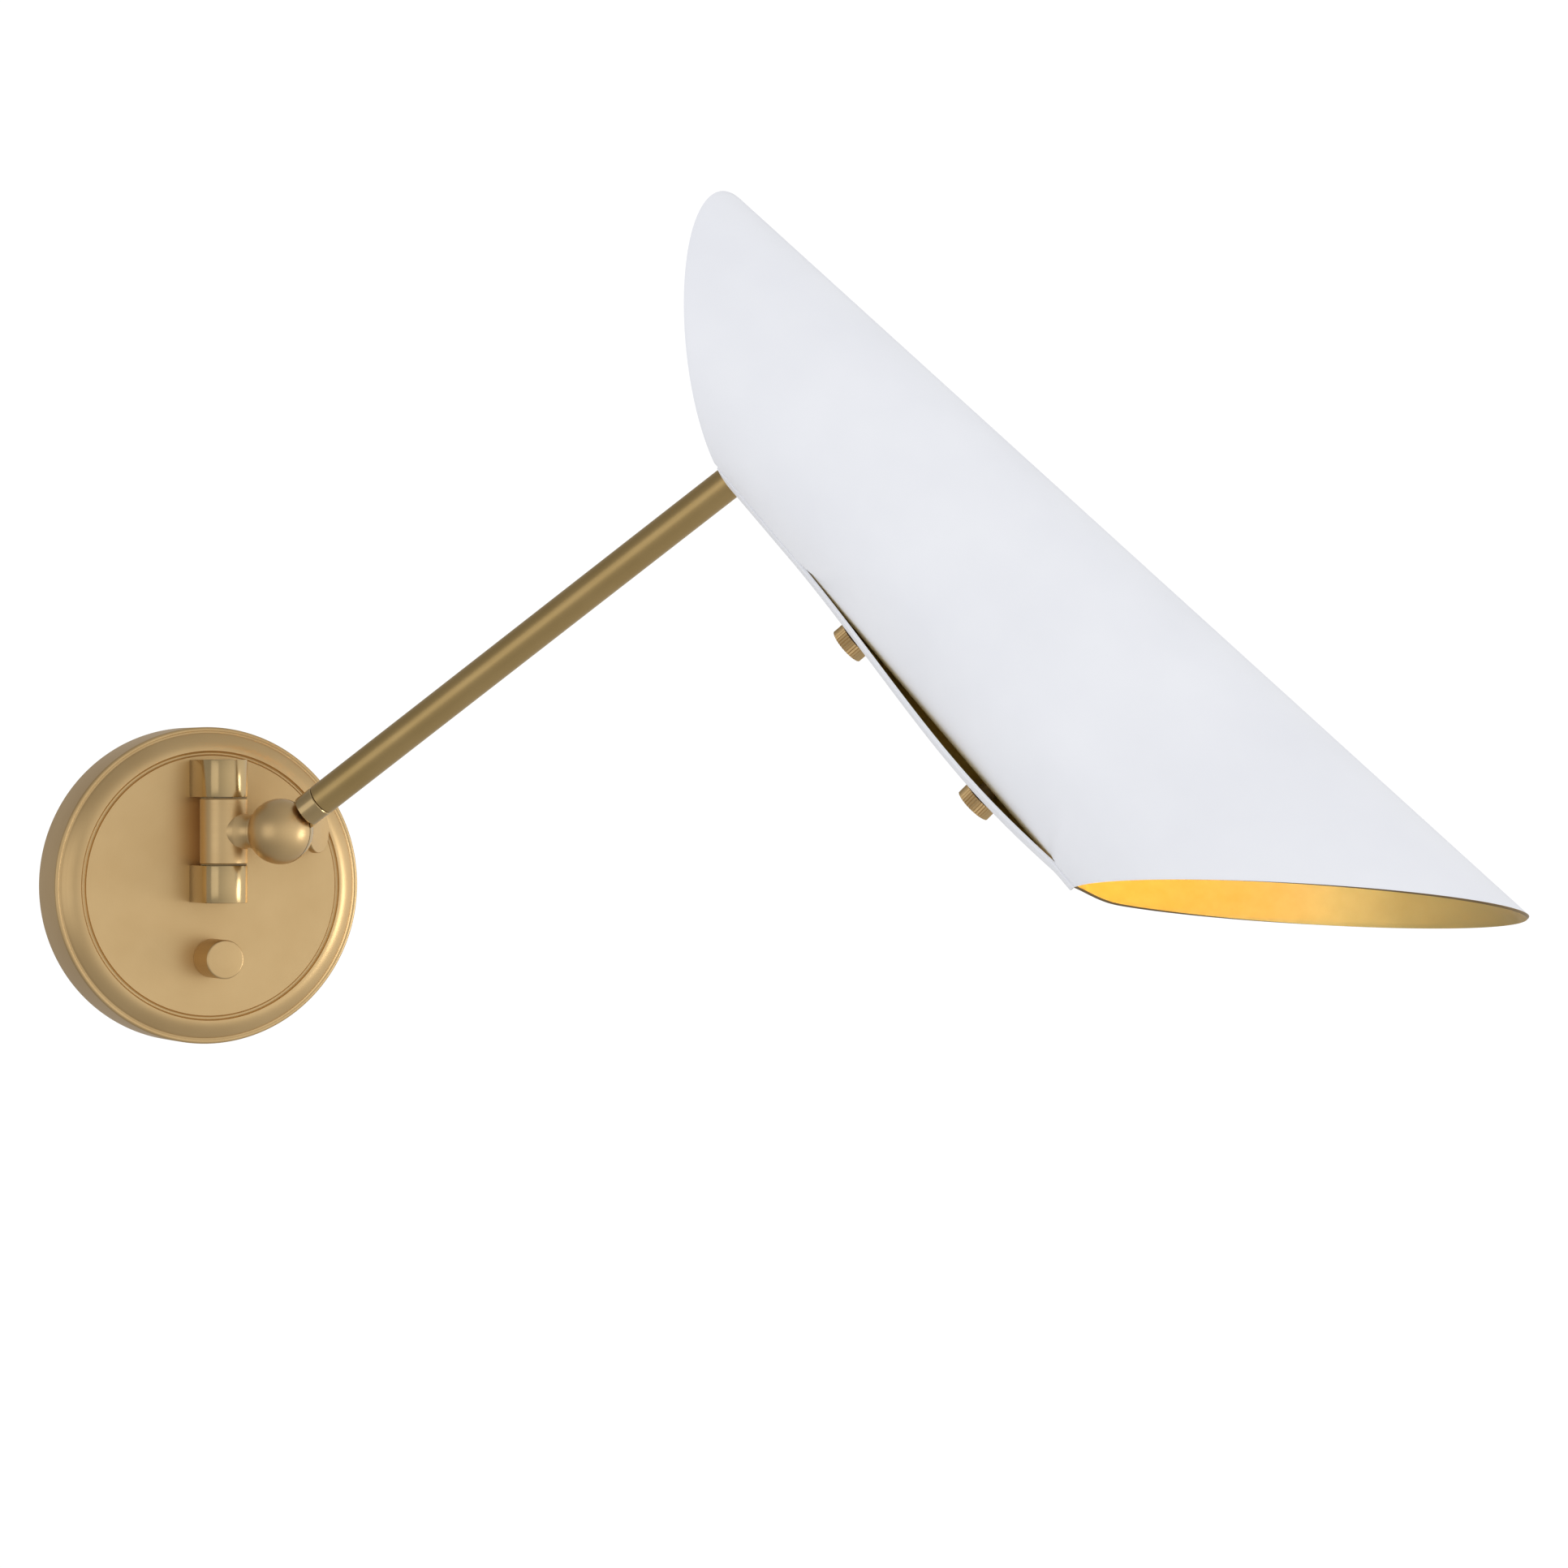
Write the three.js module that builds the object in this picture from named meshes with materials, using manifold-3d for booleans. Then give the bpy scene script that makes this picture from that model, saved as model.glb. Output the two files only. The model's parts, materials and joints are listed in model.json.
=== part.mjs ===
// Swing arm wall sconce: a round backplate carries a vertical hinge, a ball swivel clamped by a
// thumb key, a straight arm and a rolled sheet shade around its lampholder.
// Millimetres, +Z up. The origin is the middle of the wall strap's back face, the wall is the
// plane Y = 0 and the lamp stands out towards -Y.

import * as THREE from 'three';
import { mergeVertices } from 'three/addons/utils/BufferGeometryUtils.js';
import Module from 'manifold-3d';

const wasm = await Module();
wasm.setup();

// ---------------------------------------------------------------- driving dimensions

// Clearances
const seat = 0.1;             // between two flat faces that rest on each other
const fit = 0.3;              // between a round piece and its hole, on the radius
const overcut = 1;            // how far a cutting shape runs past the faces it cuts
const joinWeld = 1e-4;        // distance under which doubled vertices are one
const flatness = 2e-3;        // how far out of line points may be and still make one flat face

// Backplate
const plateRadius = 63.5;
const plateSideDepth = 21.9;
const plateFaceDepth = 26;
const plateWall = 1.8;
const plateEdgeRound = 1;
const plateCrown = 0.4;
const grooveRadius = 53;
const grooveHalfWidth = 0.75;
const grooveDepth = 0.8;

// Wall strap behind the backplate
const strapWidth = 20;
const strapThickness = 2;
const strapTabLength = 14;
const strapSlotSpacing = 88.9;
const strapSlotLength = 12;
const strapSlotRadius = 2.4;
const strapEndClearance = 1.2;
const sideScrewRadius = 2;
const sideScrewLength = 6;
const sideScrewDepth = 8;

// Hinge: two ears on the plate and a swinging barrel between them
const hingeHeight = 21.9;
const hingeStandOff = 14.6;
const hingeRadius = 9.4;
const barrelHeight = 25.9;
const earHeight = 14.9;
const hingeWasher = 0.4;
const pinRadius = 3.5;
const pinGrip = 10;
const earScrewRadius = 2;
const earScrewReach = 8;
const earScrewHeadRadius = 4;
const earScrewHeadHeight = 2.6;

// Swivel: a ball split into two halves
const neckReach = 25;
const neckRadius = 6.5;
const neckFlare = 1.7;
const neckFlareLength = 3.5;
const neckCrease = 1.2;
const neckFlareCurl = 0.5;
const ballRadius = 13;
const ballSplit = 0.4;
const collarGap = 0.6;
const collarLength = 7.9;
const ballFlat = 1.2;
const swingHeading = 46;
const armElevation = 35.16;

// Thumb key that clamps the swivel
const keyShankRadius = 2;
const keyThreadDepth = 9;
const keyWasherRadius = 5.2;
const keyWasherThickness = 0.8;
const keyHubRadius = 4;
const keyHubGrip = 2;
const keyPaddleRadius = 9;
const keyPaddleThickness = 3;
const keyPaddleReach = 32;

// Arm
const armReach = 273.9;
const armRadius = 6.35;
const armWall = 1;
const armSpigotLength = 12;
const eyeThickness = 6;
const eyeRadius = 6;
const eyeSetBack = 13;
const eyeCapLength = 2.6;

// Shade pivot
const shadePitch = 45.09;
const forkRadius = 7;
const forkEarThickness = 3;
const forkBaseStart = 13.5;
const forkBaseRadius = 10;
const forkBaseThickness = 3;
const pivotScrewRadius = 2.5;
const pivotHeadRadius = 5;
const pivotHeadHeight = 2.8;
const pivotNutAcrossCorners = 9.2;
const pivotNutHeight = 3.4;

// Lampholder and bulb
const nippleRadius = 5;
const nippleBore = 3.4;
const nippleLength = 16.2;
const lockNutAcrossCorners = 15;
const lockNutHeight = 3;
const holderWall = 2;
const holderCapLength = 10.6;
const holderBodyLength = 31;
const holderFloor = 3;
const contactRadius = 4;
const contactThickness = 1;
const rivetRadius = 2;
const rivetTail = 1;
const shellWall = 0.6;
const shellSetBack = 1;
const bulbBaseRadius = 13.1;
const bulbBasePlay = 1;
const bulbBaseLength = 26;
const bulbRadius = 30;
const bulbLength = 76;
const bulbGlassWall = 1.2;
const bulbBaseTaper = 4;
const bulbNeckPull = 0.55;
const bulbShoulderPull = 0.75;

// Shade: a rolled sheet, slightly conical, whose outer edge laps over the inner one
const shadeRadius = 41.99;
const shadeTaper = 0.0565;
const sheet = 1.2;
const lapGap = 0.4;
const lapInnerEnd = 198;
const lapOuterEdge = 153;
const lapStepDown = 105;
const shadeTurnStep = 9;
const liftSlices = 12;
const mouthOnAxis = -43.8;
const mouthSlope = 1.078;
const openingOnAxis = 257.6;
const openingSlope = 1.039;
const cutSkew = 0.2424;
const armReliefClearance = 0.6;
const cornerRound = 6;
const liftHeight = 4;
const liftStart = 36;
const liftEnd = 191;
const liftLean = 1.6;
const liftHoldAngle = 185;
const liftFadeAngle = 235;

// Seam strap, studs and thumb nuts that hold the lap
const seamStrapWidth = 18;
const seamStrapThickness = 2;
const seamStrapEnd = 165;
const seamStrapSeat = 1.3;
const upperStudPlace = 71.5;
const lowerStudPlace = 148.8;
const studRadius = 2;
const studHeadRadius = 4;
const studHeadHeight = 2.4;
const studTip = 0.8;
const spacerRadius = 3.5;
const spacerPlay = 0.45;
const thumbNutRadius = 7.35;
const thumbNutHeight = 4.8;
const thumbNutTeeth = 30;
const thumbNutToothDepth = 0.35;

// Dimmer
const knobDrop = 29;
const knobRadius = 7.75;
const knobLength = 16.6;
const knobRecess = 4.5;
const knobWall = 1.4;
const knobEdge = 0.4;
const dimmerBodyRadius = 12;
const dimmerBodyDepth = 12;
const dimmerBushRadius = 3.6;
const dimmerBushLength = 5;
const dimmerNutAcrossCorners = 11;
const dimmerNutHeight = 1.8;
const shaftRadius = 2;
const shaftLength = 13;
const shaftGrip = 2;

// Facets round a full turn
const fineTurn = 48;
const turn = 24;
const smallTurn = 14;
const edgeSteps = 4;
const globeSteps = 5;

// ---------------------------------------------------------------- finishes

const satinBrass = { color: 0xc7aa78, roughness: 0.38, metalness: 1 };
const polishedBrass = { color: 0xd2b47a, roughness: 0.22, metalness: 1 };
const steel = { color: 0xa9abad, roughness: 0.4, metalness: 1 };
const whiteEnamel = { color: 0xe9eaec, roughness: 0.45, metalness: 0 };
const blackMoulding = { color: 0x1f1f20, roughness: 0.5, metalness: 0 };
const nylon = { color: 0xb39a6c, roughness: 0.6, metalness: 0 };
const opalGlass = { color: 0xfff3d8, roughness: 0.3, metalness: 0 };

// ---------------------------------------------------------------- shape helpers

const radians = THREE.MathUtils.degToRad;

// The closed solid of a geometry: doubled vertices joined, flat triangles dropped, faces outwards.
function solid(geometry) {
  const loose = geometry.index ? geometry.toNonIndexed() : geometry.clone();
  loose.deleteAttribute('normal');
  loose.deleteAttribute('uv');
  const joined = mergeVertices(loose, joinWeld);
  const at = joined.attributes.position;
  const corners = [0, 1, 2].map(() => new THREE.Vector3());
  const triangles = [];
  let volume = 0;
  for (let i = 0; i < joined.index.count; i += 3) {
    const triangle = [0, 1, 2].map((k) => joined.index.getX(i + k));
    if (new Set(triangle).size < 3) continue;
    triangles.push(triangle);
    triangle.forEach((vertex, k) => corners[k].fromBufferAttribute(at, vertex));
    volume += corners[0].dot(corners[1].clone().cross(corners[2]));
  }
  const facing = volume < 0 ? triangles.map(([a, b, c]) => [a, c, b]) : triangles;
  const mesh = new wasm.Mesh({
    numProp: 3,
    vertProperties: new Float32Array(at.array),
    triVerts: new Uint32Array(facing.flat()),
  });
  return new wasm.Manifold(mesh);
}

// The flat-shaded geometry of a solid.
function shapeOf(body) {
  const mesh = body.getMesh();
  const indexed = new THREE.BufferGeometry();
  indexed.setAttribute('position', new THREE.BufferAttribute(mesh.vertProperties, 3));
  indexed.setIndex(new THREE.BufferAttribute(mesh.triVerts, 1));
  const geometry = indexed.toNonIndexed();
  geometry.computeVertexNormals();
  return geometry;
}

// Turns a shape so that its own X, Y and Z lie along Y, Z and X.
const toAlongX = new THREE.Matrix4().makeBasis(
  new THREE.Vector3(0, 1, 0),
  new THREE.Vector3(0, 0, 1),
  new THREE.Vector3(1, 0, 0),
);

// Turns a shape made along Y so that its length lies along the named axis.
function lay(geometry, axis) {
  if (axis === 'x') return geometry.rotateZ(-Math.PI / 2);
  if (axis === 'z') return geometry.rotateX(Math.PI / 2);
  return geometry;
}

// A plain round rod between two places on an axis.
function rod(axis, radius, from, to, facets = smallTurn) {
  const geometry = new THREE.CylinderGeometry(radius, radius, to - from, facets);
  return lay(geometry.translate(0, (from + to) / 2, 0), axis);
}

// A turned piece from [radius, place on the axis] points.
function turned(axis, points, facets = turn) {
  const profile = points.map(([radius, place]) => new THREE.Vector2(radius, place));
  return lay(new THREE.LatheGeometry(profile, facets), axis);
}

// A turned ring with a plain square section.
function ring(axis, inner, outer, from, to, facets = turn) {
  const section = [[inner, from], [outer, from], [outer, to], [inner, to], [inner, from]];
  return turned(axis, section, facets);
}

// A flat outline given depth along an axis: [X, Y] along z, [Y, Z] along x, [X, Z] along y.
function slab(axis, outline, from, to) {
  const geometry = new THREE.ExtrudeGeometry(outline, { depth: to - from, bevelEnabled: false });
  if (axis === 'y') return geometry.rotateX(Math.PI / 2).translate(0, to, 0);
  geometry.translate(0, 0, from);
  return axis === 'z' ? geometry : geometry.applyMatrix4(toAlongX);
}

function outlineOf(points) {
  return new THREE.Shape(points.map(([a, b]) => new THREE.Vector2(a, b)));
}

// An outline with regular corners on a circle; every second corner can be set in, as on a knurl.
function toothedOutline(outer, corners, setIn = 0) {
  const points = [];
  for (let i = 0; i < corners; i += 1) {
    const angle = (i / corners) * 2 * Math.PI;
    const radius = i % 2 ? outer - setIn : outer;
    points.push([radius * Math.cos(angle), radius * Math.sin(angle)]);
  }
  return outlineOf(points);
}

// A bar outline with a round end on the origin, straight sides and a square end.
function roundEndedBar(radius, reach) {
  const outline = new THREE.Shape();
  outline.absarc(0, 0, radius, Math.PI / 2, 1.5 * Math.PI, false);
  outline.lineTo(reach, -radius);
  outline.lineTo(reach, radius);
  return outline;
}

// A flat nut with a round hole.
function nut(axis, acrossCorners, bore, from, to) {
  const outline = toothedOutline(acrossCorners / 2, 6);
  const hole = rod(axis, bore, from - overcut, to + overcut);
  return solid(slab(axis, outline, from, to)).subtract(solid(hole));
}

const lamp = new THREE.Group();

// Adds one named piece to a group of the tree.
function add(group, name, shape, finish) {
  const body = shape.getMesh ? shape : solid(shape);
  const geometry = shapeOf(body.simplify(flatness));
  const piece = new THREE.Mesh(geometry, new THREE.MeshStandardMaterial(finish));
  piece.name = name;
  group.add(piece);
}

// A group placed in its parent and turned about one of its axes.
function frameIn(parent, x, y, z, axis = 'y', angle = 0) {
  const group = new THREE.Group();
  group.position.set(x, y, z);
  group.rotation[axis] = angle;
  parent.add(group);
  return group;
}

// ---------------------------------------------------------------- backplate and wall strap

const plateInner = plateRadius - plateWall;
const earScrewHeights = [-1, 1].map((side) => {
  const earMiddle = barrelHeight / 2 + hingeWasher + 2 * seat + earHeight / 2;
  return hingeHeight + side * earMiddle;
});

function buildBackplate() {
  const rise = new THREE.QuadraticBezierCurve(
    new THREE.Vector2(plateRadius - plateEdgeRound, -plateSideDepth),
    new THREE.Vector2((plateRadius + grooveRadius) / 2, -plateFaceDepth + plateCrown),
    new THREE.Vector2(grooveRadius + grooveHalfWidth, -plateFaceDepth),
  );
  const profile = [
    [0, -plateFaceDepth + plateWall],
    [grooveRadius, -plateFaceDepth + plateWall],
    [plateInner, -plateSideDepth + plateWall],
    [plateInner, 0],
    [plateRadius, 0],
    [plateRadius, -plateSideDepth + plateEdgeRound],
    ...rise.getPoints(edgeSteps).map((point) => [point.x, point.y]),
    [grooveRadius, -plateFaceDepth + grooveDepth],
    [grooveRadius - grooveHalfWidth, -plateFaceDepth],
    [0, -plateFaceDepth],
  ];
  let plate = solid(turned('y', profile, fineTurn));
  const faceHoles = earScrewHeights.map((height) => [earScrewRadius + fit, height]);
  faceHoles.push([dimmerBushRadius + fit, -knobDrop]);
  for (const [radius, height] of faceHoles) {
    const hole = rod('y', radius, -plateFaceDepth - overcut, -plateFaceDepth + plateWall + overcut);
    plate = plate.subtract(solid(hole.translate(0, 0, height)));
  }
  const sideHole = rod('z', sideScrewRadius + fit, -plateRadius - overcut, plateRadius + overcut);
  return plate.subtract(solid(sideHole.translate(0, -sideScrewDepth, 0)));
}

const strapHalf = Math.sqrt(plateInner ** 2 - (strapWidth / 2) ** 2) - strapEndClearance;

function buildWallStrap() {
  const outline = outlineOf([
    [0, -strapHalf],
    [0, strapHalf],
    [-strapTabLength, strapHalf],
    [-strapTabLength, strapHalf - strapThickness],
    [-strapThickness, strapHalf - strapThickness],
    [-strapThickness, -strapHalf + strapThickness],
    [-strapTabLength, -strapHalf + strapThickness],
    [-strapTabLength, -strapHalf],
  ]);
  let strap = solid(slab('x', outline, -strapWidth / 2, strapWidth / 2));
  const slotHalf = strapSlotLength / 2 - strapSlotRadius;
  const slot = new THREE.Shape();
  slot.absarc(slotHalf, 0, strapSlotRadius, -Math.PI / 2, Math.PI / 2, false);
  slot.absarc(-slotHalf, 0, strapSlotRadius, Math.PI / 2, 1.5 * Math.PI, false);
  for (const side of [-1, 1]) {
    const cut = slab('y', slot, -strapThickness - overcut, overcut);
    strap = strap.subtract(solid(cut.translate(0, 0, (side * strapSlotSpacing) / 2)));
  }
  const tapped = rod('z', sideScrewRadius + fit, -plateRadius, plateRadius);
  return strap.subtract(solid(tapped.translate(0, -sideScrewDepth, 0)));
}

add(lamp, 'backplate', buildBackplate(), satinBrass);
add(lamp, 'wall_strap', buildWallStrap(), steel);
for (const [name, side] of [['side_screw_top', 1], ['side_screw_bottom', -1]]) {
  const ends = [side * (plateRadius - sideScrewLength), side * (plateRadius - seat)];
  const screw = rod('z', sideScrewRadius, Math.min(...ends), Math.max(...ends));
  add(lamp, name, screw.translate(0, -sideScrewDepth, 0), satinBrass);
}

// ---------------------------------------------------------------- hinge

const hingeDepth = plateFaceDepth + hingeStandOff;
const hinge = frameIn(lamp, 0, -hingeDepth, hingeHeight);
const earStart = barrelHeight / 2 + hingeWasher + 2 * seat;
const pinHalf = earStart + pinGrip;

function buildEar(side) {
  const outline = new THREE.Shape();
  const back = hingeStandOff - seat;
  outline.moveTo(hingeRadius, back);
  outline.lineTo(-hingeRadius, back);
  outline.absarc(0, 0, hingeRadius, Math.PI, 2 * Math.PI, false);
  const ends = [side * earStart, side * (earStart + earHeight)];
  const low = Math.min(...ends);
  const ear = solid(slab('z', outline, low, Math.max(...ends)));
  const pinHole = rod('z', pinRadius + fit, -pinHalf - fit, pinHalf + fit);
  const screwHole = rod('y', earScrewRadius + fit, back - earScrewReach - fit, back + overcut);
  screwHole.translate(0, 0, low + earHeight / 2);
  return ear.subtract(solid(pinHole)).subtract(solid(screwHole));
}

function buildEarScrew(height) {
  const headFrom = -plateFaceDepth + plateWall + seat;
  const profile = [
    [0, -plateFaceDepth - seat - earScrewReach],
    [earScrewRadius, -plateFaceDepth - seat - earScrewReach],
    [earScrewRadius, headFrom],
    [earScrewHeadRadius, headFrom],
    [earScrewHeadRadius, headFrom + earScrewHeadHeight],
    [0, headFrom + earScrewHeadHeight],
  ];
  return turned('y', profile, smallTurn).translate(0, 0, height);
}

for (const [place, side] of [['upper', 1], ['lower', -1]]) {
  add(hinge, `hinge_ear_${place}`, buildEar(side), polishedBrass);
  const ends = [side * (barrelHeight / 2 + seat), side * (barrelHeight / 2 + seat + hingeWasher)];
  const washer = ring('z', pinRadius + fit, hingeRadius - fit, Math.min(...ends), Math.max(...ends));
  add(hinge, `hinge_washer_${place}`, washer, nylon);
  add(lamp, `ear_screw_${place}`, buildEarScrew(earScrewHeights[(side + 1) / 2]), steel);
}
add(hinge, 'hinge_pin', rod('z', pinRadius, -pinHalf, pinHalf, turn), steel);

// ---------------------------------------------------------------- swivel

const swing = frameIn(hinge, 0, 0, 0, 'z', radians(-swingHeading));
const ballFrame = frameIn(swing, neckReach, 0, 0);
const wide = 3 * ballRadius;

// The block on the near (-1) or far (+1) side of the swivel's split.
function splitBlock(side) {
  const block = new THREE.BoxGeometry(2 * wide, wide, 2 * wide);
  return block.translate(0, side * (wide / 2 + ballSplit / 2), 0);
}

function buildSwingKnuckle() {
  const barrel = solid(rod('z', hingeRadius, -barrelHeight / 2, barrelHeight / 2, turn));
  const flareStart = hingeRadius - neckCrease;
  const buried = Math.sqrt(hingeRadius ** 2 - (neckRadius + neckFlare) ** 2);
  const flare = new THREE.QuadraticBezierCurve(
    new THREE.Vector2(neckRadius + neckFlare, flareStart),
    new THREE.Vector2(neckRadius, flareStart + neckFlareCurl),
    new THREE.Vector2(neckRadius, flareStart + neckFlareLength),
  );
  const neckProfile = [
    [0, buried],
    [neckRadius + neckFlare, buried],
    ...flare.getPoints(edgeSteps).map((point) => [point.x, point.y]),
    [neckRadius, neckReach - ballRadius / 2],
    [0, neckReach - ballRadius / 2],
  ];
  const neck = solid(turned('x', neckProfile));
  const ball = solid(new THREE.SphereGeometry(ballRadius, turn, turn / 2));
  const nearHalf = ball.intersect(solid(splitBlock(-1))).translate([neckReach, 0, 0]);
  const sweep = solid(new THREE.SphereGeometry(ballRadius + fit + seat, turn, turn / 2));
  const farSweep = solid(splitBlock(1).translate(0, -ballSplit, 0)).intersect(sweep);
  const keyHole = rod('y', keyShankRadius + fit, -keyThreadDepth - fit, overcut);
  const pinHole = rod('z', pinRadius + fit, -barrelHeight, barrelHeight);
  return barrel
    .add(neck)
    .subtract(farSweep.translate([neckReach, 0, 0]))
    .add(nearHalf)
    .subtract(solid(pinHole))
    .subtract(solid(keyHole.translate(neckReach, 0, 0)));
}

add(swing, 'swing_knuckle', buildSwingKnuckle(), satinBrass);

const arm = frameIn(ballFrame, 0, 0, 0, 'y', -radians(armElevation));
const collarStart = ballRadius + collarGap;
const tubeStart = collarStart + collarLength + fit;

function buildArmKnuckle() {
  const ball = solid(new THREE.SphereGeometry(ballRadius, turn, turn / 2));
  const root = solid(rod('x', armRadius, ballRadius / 2, collarStart + overcut, turn));
  const farHalf = ball.add(root).intersect(solid(splitBlock(1)));
  const collar = solid(rod('x', armRadius, collarStart, collarStart + collarLength, turn));
  const spigotRadius = armRadius - armWall - fit;
  const spigot = solid(rod('x', spigotRadius, collarStart, tubeStart + armSpigotLength));
  const keyHole = rod('y', keyShankRadius + fit, -overcut, ballRadius + overcut);
  const flat = rod('y', keyWasherRadius + fit, ballRadius - ballFlat, ballRadius + overcut);
  return farHalf.add(collar).add(spigot).subtract(solid(keyHole)).subtract(solid(flat));
}

const flatPlace = ballRadius - ballFlat;
const keyHubStart = flatPlace + keyWasherThickness + 2 * seat;
const keyHubEnd = keyPaddleReach - keyPaddleRadius + keyHubGrip;

function buildTiltKey() {
  const shankAndHub = turned('y', [
    [0, -keyThreadDepth],
    [keyShankRadius, -keyThreadDepth],
    [keyShankRadius, keyHubStart],
    [keyHubRadius, keyHubStart],
    [keyHubRadius, keyHubEnd],
    [0, keyHubEnd],
  ], smallTurn);
  const paddle = rod('x', keyPaddleRadius, -keyPaddleThickness / 2, keyPaddleThickness / 2, turn);
  return solid(shankAndHub).add(solid(paddle.translate(0, keyPaddleReach, 0)));
}

add(arm, 'arm_knuckle', buildArmKnuckle(), polishedBrass);
add(ballFrame, 'tilt_key', buildTiltKey(), satinBrass);
const washerFrom = flatPlace + seat;
const keyWasherShape = ring(
  'y', keyShankRadius + fit, keyWasherRadius, washerFrom, washerFrom + keyWasherThickness, smallTurn,
);
add(ballFrame, 'tilt_key_washer', keyWasherShape, steel);

// ---------------------------------------------------------------- arm

const tubeEnd = armReach - eyeSetBack;

function buildArmEye() {
  const spigot = rod('x', armRadius - armWall - fit, tubeEnd - armSpigotLength, tubeEnd + fit);
  const cap = rod('x', armRadius, tubeEnd + seat, tubeEnd + seat + eyeCapLength, turn);
  const tongueOutline = roundEndedBar(eyeRadius, eyeSetBack - eyeCapLength / 2);
  const tongue = slab('y', tongueOutline, -eyeThickness / 2, eyeThickness / 2).rotateZ(Math.PI);
  const hole = rod('y', pivotScrewRadius + fit, -eyeThickness, eyeThickness);
  const eye = solid(tongue).subtract(solid(hole)).translate([armReach, 0, 0]);
  return solid(cap).add(solid(spigot)).add(eye);
}

add(arm, 'arm_tube', ring('x', armRadius - armWall, armRadius, tubeStart, tubeEnd), satinBrass);
add(arm, 'arm_end_eye', buildArmEye(), satinBrass);

// ---------------------------------------------------------------- shade pivot

const shadeFrame = frameIn(arm, armReach, 0, 0, 'y', radians(armElevation + shadePitch));
const earInner = eyeThickness / 2 + fit;
const earOuter = earInner + forkEarThickness;
const forkBaseEnd = forkBaseStart + forkBaseThickness;

function buildShadeFork() {
  let fork = solid(rod('x', forkBaseRadius, forkBaseStart, forkBaseEnd, turn));
  for (const [from, to] of [[earInner, earOuter], [-earOuter, -earInner]]) {
    const ear = roundEndedBar(forkRadius, forkBaseStart + forkBaseThickness / 2);
    fork = fork.add(solid(slab('y', ear, from, to)));
  }
  const pivotHole = rod('y', pivotScrewRadius + fit, -earOuter - overcut, earOuter + overcut);
  const nippleHole = rod('x', nippleRadius + fit, forkBaseStart - overcut, forkBaseEnd + overcut);
  return fork.subtract(solid(pivotHole)).subtract(solid(nippleHole));
}

const pivotHeadStart = -earOuter - seat;
const pivotNutStart = earOuter + seat;
const pivotScrewShape = turned('y', [
  [0, pivotHeadStart - pivotHeadHeight],
  [pivotHeadRadius, pivotHeadStart - pivotHeadHeight],
  [pivotHeadRadius, pivotHeadStart],
  [pivotScrewRadius, pivotHeadStart],
  [pivotScrewRadius, pivotNutStart + pivotNutHeight + studTip],
  [0, pivotNutStart + pivotNutHeight + studTip],
], smallTurn);
const pivotNutShape = nut(
  'y', pivotNutAcrossCorners, pivotScrewRadius + fit, pivotNutStart, pivotNutStart + pivotNutHeight,
);

add(shadeFrame, 'shade_fork', buildShadeFork(), satinBrass);
add(shadeFrame, 'pivot_screw', pivotScrewShape, steel);
add(shadeFrame, 'pivot_nut', pivotNutShape, steel);

// ---------------------------------------------------------------- rolled shade

// Outer radius of the rolled sheet at a place on its axis.
const shadeOuter = (place) => shadeRadius + shadeTaper * place;

// How far the lapping edge stands off the sheet beneath it.
function liftAt(place) {
  const share = THREE.MathUtils.clamp((place - liftStart) / (liftEnd - liftStart), 0, 1);
  return liftHeight * Math.sin(Math.PI * share ** liftLean);
}

// The sheet's spiral section at one radius. Angles run from the top, over the near side (-Y).
function rolledSection() {
  const outerFace = [];
  const innerFace = [];
  for (let angle = lapInnerEnd; angle >= lapOuterEdge - 360; angle -= shadeTurnStep) {
    const tucked = THREE.MathUtils.smoothstep(angle, lapStepDown, lapOuterEdge - shadeTurnStep);
    const outer = shadeRadius - tucked * (sheet + lapGap);
    const across = -Math.sin(radians(angle));
    const up = Math.cos(radians(angle));
    outerFace.push([outer * across, outer * up]);
    innerFace.unshift([(outer - sheet) * across, (outer - sheet) * up]);
  }
  return outlineOf([...outerFace, ...innerFace]);
}

// Rolls the section out along the axis, opens it to the cone and lifts the lapping edge.
function buildRolledSheet() {
  const spare = 2 * shadeRadius;
  const places = [mouthOnAxis - spare];
  for (let i = 0; i <= liftSlices; i += 1) {
    places.push(THREE.MathUtils.lerp(liftStart, liftEnd, i / liftSlices));
  }
  places.push(openingOnAxis + spare);
  const steps = places.length - 1;
  const options = { depth: steps, steps, bevelEnabled: false };
  const geometry = new THREE.ExtrudeGeometry(rolledSection(), options);
  const at = geometry.attributes.position;
  for (let i = 0; i < at.count; i += 1) {
    const place = places[Math.round(at.getZ(i))];
    at.setZ(i, place);
    const flat = Math.hypot(at.getX(i), at.getY(i));
    const turnedTo = THREE.MathUtils.radToDeg(Math.atan2(-at.getX(i), at.getY(i)));
    const angle = turnedTo < 0 ? turnedTo + 360 : turnedTo;
    const onLap = flat > shadeRadius - sheet - lapGap / 2 && angle > lapOuterEdge - shadeTurnStep / 2;
    const held = 1 - THREE.MathUtils.smoothstep(angle, liftHoldAngle, liftFadeAngle);
    const lift = onLap ? held * liftAt(place) : 0;
    const radius = flat + shadeTaper * place + lift;
    at.setXY(i, (at.getX(i) * radius) / flat, (at.getY(i) * radius) / flat);
  }
  return geometry.applyMatrix4(toAlongX);
}

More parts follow.
